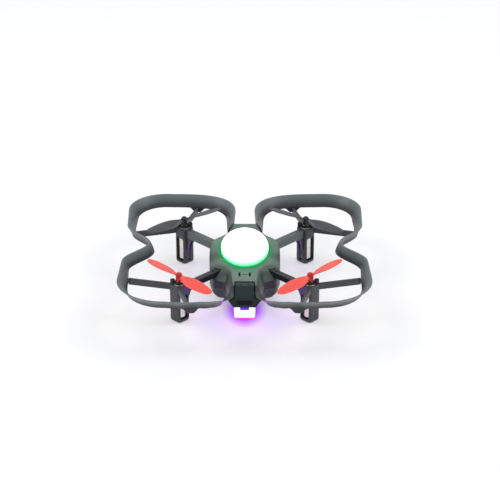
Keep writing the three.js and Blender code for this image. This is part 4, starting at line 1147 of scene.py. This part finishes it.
def blade():
    """One blade along +X, with its sections closer together near the tip."""
    root, tip = BLADE[0][0], BLADE[-1][0]
    places = np.concatenate([np.linspace(root, 25, 34), np.linspace(25.4, tip, 14)])
    return loft("blade", [blade_section(at, *row) for at, row in zip(places, smooth_table(BLADE, places))])


def propeller():
    """The hub with a rounded crown, its two blades and the shaft's bore."""
    shoulder = HUB_TOP - HUB_CROWN
    turns = [math.radians(angle) for angle in (15, 30, 45, 60, 75)]
    crown = [(HUB_R * math.cos(turn), shoulder + HUB_CROWN * math.sin(turn)) for turn in turns]
    hub = lathe("propeller", [(0, HUB_LOW), (HUB_R - HUB_SOFT, HUB_LOW), (HUB_R, HUB_LOW + HUB_SOFT),
                              (HUB_R, shoulder), *crown, (0, HUB_TOP)], (0, 0), 48)
    second = moved(blade(), Matrix.Rotation(math.pi, 4, "Z"))
    join(hub, [blade(), second])
    cut(hub, [cylinder("bore", HUB_BORE, 0, HUB_TOP - HUB_ROOF, (0, 0), 32)])
    return hub


def on_hub(p):
    return math.hypot(abs(p[0]) - MOTOR_OFFSET, abs(p[1]) - MOTOR_OFFSET) < HUB_R + 0.15


# The blades' look, the hub's look and the slot.
PROPELLER_LOOKS = {"front": ("red", "red_hub", "propeller_red"),
                   "rear": ("smoke", "black_hub", "propeller_dark")}
rotor = propeller()
for corner, sx, sy in CORNERS:
    end = corner.split("_")[0]
    look, hub_look, slot = PROPELLER_LOOKS[end]
    copy = shade(linked(f"blades_{corner}", rotor.data.copy()))
    moved(copy, Matrix.Diagonal((sx * sy, 1, 1, 1)))
    turn = Matrix.Rotation(math.radians(REST[end]) * sx, 4, "Z")
    moved(copy, Matrix.Translation((sx * MOTOR_OFFSET * MM, sy * MOTOR_OFFSET * MM, 0)) @ turn)
    finish_piece(copy, look, f"propeller_{corner}", f"rotor_{corner}")
    paint(copy, hub_look, on_hub)
bpy.data.objects.remove(rotor)

# ---- dome

DOME_RIM, DOME_WALL, DOME_SEAT = 28.9, 1.2, 26.0
DOME_STEPS = 20


def cap(r, top):
    """A quarter of an oval from the dome's rim up to its crown on the axis."""
    turns = [math.pi / 2 * k / DOME_STEPS for k in range(DOME_STEPS)]
    return [(r * math.cos(t), DOME_RIM + (top - DOME_RIM) * math.sin(t)) for t in turns] + [(0, top)]


def dome():
    inner_r = DOME_R - DOME_WALL
    inside = cap(inner_r, DOME_HIGH[2] - DOME_WALL)[::-1]
    foot = [(inner_r, DOME_LOW[2]), (DOME_R, DOME_LOW[2]), (DOME_R, DOME_SEAT)]
    obj = lathe("dome_shell", inside + foot + cap(DOME_R, DOME_HIGH[2]), (0, DOME_Y), 96)
    return finish_piece(shade(obj), "dome", "dome_lens")


dome()

# ---- nose

# Place along Y, then half-width and height at the top, the middle and the bottom.
VISOR = [
    (-34.8, 5.4, 22.5, 5.55, 19.0, 5.5, 14.0), (-38.2, 5.4, 21.3, 5.55, 18.4, 5.5, 14.0),
    (-38.5, 5.4, 21.2, 5.55, 18.3, 6.5, 12.5), (-43.0, 5.3, 19.6, 5.8, 17.3, 6.5, 12.4),
    (-45.0, 5.2, 18.9, 9.9, 17.2, 6.5, 12.4), (-46.2, 4.9, 18.3, 9.5, 16.9, 6.3, 12.4),
]
# Half-width, then front and rear, then bottom and top of each opening in the visor's face.
VISOR_OPENINGS = [(4.4, (-50, -45.5), (14.2, 16.7)), (3.9, (-45, -30), (14.5, 17.3)),
                  (3.4, (-50, -40), (14.7, 16.2))]
VISOR_DOT_R, VISOR_DOT_X, VISOR_DOT_Y = 0.42, 2, -36.3


def visor():
    rings = []
    for y, *sizes in VISOR:
        half = [tuple(sizes[k:k + 2]) for k in (0, 2, 4)]
        rings.append([(x, y, z) for x, z in half + [(-x, z) for x, z in reversed(half)]])
    obj = loft("visor_shell", rings)
    tools = [box("opening", (-half, half), ys, zs) for half, ys, zs in VISOR_OPENINGS]
    for x in (-VISOR_DOT_X, VISOR_DOT_X):
        tools.append(cylinder("dot", VISOR_DOT_R, 20, 30, (x, VISOR_DOT_Y), 24))
    cut(obj, tools)
    bevel(obj, VISOR_SOFT, 3, 25)
    return finish_piece(shade(obj), "visor", "nose_visor")


LENS_FRONT = LENS_LOW[1]
LENS_TAPER, LENS_WALL, LENS_CORNERS = 0.7, 1.8, [0.3, 1.8, 1.8, 0.3]
# Distance behind the lens's front face, and how far the lens is drawn in there.
LENS_DRAW = [(0.0, 0.5), (0.15, 0.2), (0.5, 0.0), (LENS_HIGH[1] - LENS_FRONT, 0.0)]
NOTCH_HALF, NOTCH_DROP, NOTCH_DEEP = 2.6, 1.6, 1


def nose_lens():
    rings = []
    for behind, draw in LENS_DRAW:
        top, low = LENS_HIGH[2] - draw * 0.4, LENS_LOW[2] + draw
        half = LENS_HIGH[0] - draw
        half_low = half - LENS_TAPER
        section = rounded([(half, top), (half_low, low), (-half_low, low), (-half, top)], LENS_CORNERS, 6)
        rings.append([(x, LENS_FRONT + behind, z) for x, z in section])
    obj = loft("nose_lens_block", rings)
    low, high = LENS_LOW[2], LENS_HIGH[2]
    cavity = box("cavity", (-5.0, 5.0), (LENS_FRONT + LENS_WALL, -30), (low + 1.6, high - 1.4))
    notch = box("notch", (-NOTCH_HALF, NOTCH_HALF), (-50, LENS_FRONT + NOTCH_DEEP), (high - NOTCH_DROP, 20))
    cut(obj, [cavity, notch])
    bevel(obj, LENS_SOFT)
    finish_piece(shade(obj), "lens", "nose_light_lens")
    paint(obj, "lens_notch", in_lens_notch)


def in_lens_notch(p):
    in_depth = 0.1 < p[1] - LENS_FRONT < NOTCH_DEEP + 0.1
    return abs(p[0]) < NOTCH_HALF + 0.1 and p[2] > LENS_HIGH[2] - NOTCH_DROP - 0.1 and in_depth


visor()
nose_lens()

# ---- carried-over CAD pieces

NODE_LOOKS = {
    "black": ["front_range_sensor", "buzzer", "power_switch", "power_button", "battery_grip",
              "battery_connector"],
    "board": ["dome_light_board", "nose_light_board", "main_board", "flow_camera_module"],
    "window": ["nose_sensor_window", "flow_camera_lens", "floor_range_sensor"],
    "reflector": ["dome_reflector"],
    "steel": ["usb_port"],
    "battery": ["battery_pack"],
}
for corner, _, _ in CORNERS:
    NODE_LOOKS["black"].append(f"motor_end_cap_{corner}")
    NODE_LOOKS["steel"].append(f"body_screw_{corner}")
    NODE_LOOKS.setdefault("lead", []).append(f"motor_lead_{corner}")
for look, nodes in NODE_LOOKS.items():
    for node in nodes:
        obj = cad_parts[node]
        obj.data.materials.clear()
        obj.data.materials.append(LOOKS[look])

# ---- studio

FLOOR_HALF = 6000
CAMERA_TARGET, CAMERA_DISTANCE, CAMERA_RISE = (0.003076, -0.003928, 0.028), 0.87153, 26.516
CAMERA_LENS, CAMERA_SENSOR = 106.1, 36
VIOLET = (0.40, 0.02, 1.0)
# The nose light's glow on the floor, the nose and the pods: name, place, power and radius, in metres
# and watts.
GLOWS = [("nose_floor_glow", (0, -0.030, 0.0035), 0.0040, 0.002)]
for side in (-1, 1):
    GLOWS += [("nose_side_glow", (side * 0.0105, -0.043, 0.012), 0.0022, 0.002),
              ("front_pod_glow", (side * 0.0315, -0.0315, 0.0145), 0.0022, 0.001),
              ("rear_pod_glow", (side * 0.0315, 0.0315, 0.0125), 0.0008, 0.001)]


def studio():
    h = FLOOR_HALF
    floor = new_object("studio_floor", [(-h, -h, 0), (h, -h, 0), (h, h, 0), (-h, h, 0)], [(0, 1, 2, 3)])
    floor.data.materials.append(floor_material())
    world = bpy.data.worlds.new("studio")
    bpy.context.scene.world = world
    world.use_nodes = True
    background = world.node_tree.nodes["Background"]
    background.inputs["Color"].default_value = (0.97, 0.98, 1.0, 1)
    background.inputs["Strength"].default_value = 0.78


def placed(name, data, place, aim=None):
    """A light's or the camera's object at its place, turned to its aim if it has one."""
    obj = linked(name, data)
    obj.location = place
    if aim is not None:
        obj.rotation_euler = (Vector(aim) - Vector(place)).to_track_quat("-Z", "Y").to_euler()
    return obj


def area_light(name, place):
    light = bpy.data.lights.new(name, "AREA")
    light.shape = "DISK"
    light.size = 0.6
    light.energy = 2.4
    placed(name, light, place, (0, 0, 0))


def glow(name, place, power, radius):
    light = bpy.data.lights.new(name, "POINT")
    light.energy = power
    light.color = VIOLET
    light.shadow_soft_size = radius
    placed(name, light, place)


def camera():
    """The camera in front of the nose, looking down at it from a distance through a long lens."""
    cam = bpy.data.cameras.new("camera")
    cam.lens = CAMERA_LENS
    cam.sensor_width = CAMERA_SENSOR
    target = Vector(CAMERA_TARGET)
    rise = math.radians(CAMERA_RISE)
    place = target + Vector((0, -math.cos(rise), math.sin(rise))) * CAMERA_DISTANCE
    bpy.context.scene.camera = placed("camera", cam, place, target)


studio()
area_light("left_box", (-0.6, 0.15, 0.8))
area_light("right_box", (0.6, 0.15, 0.8))
for light in GLOWS:
    glow(*light)
camera()
bpy.context.scene.view_settings.view_transform = "Standard"
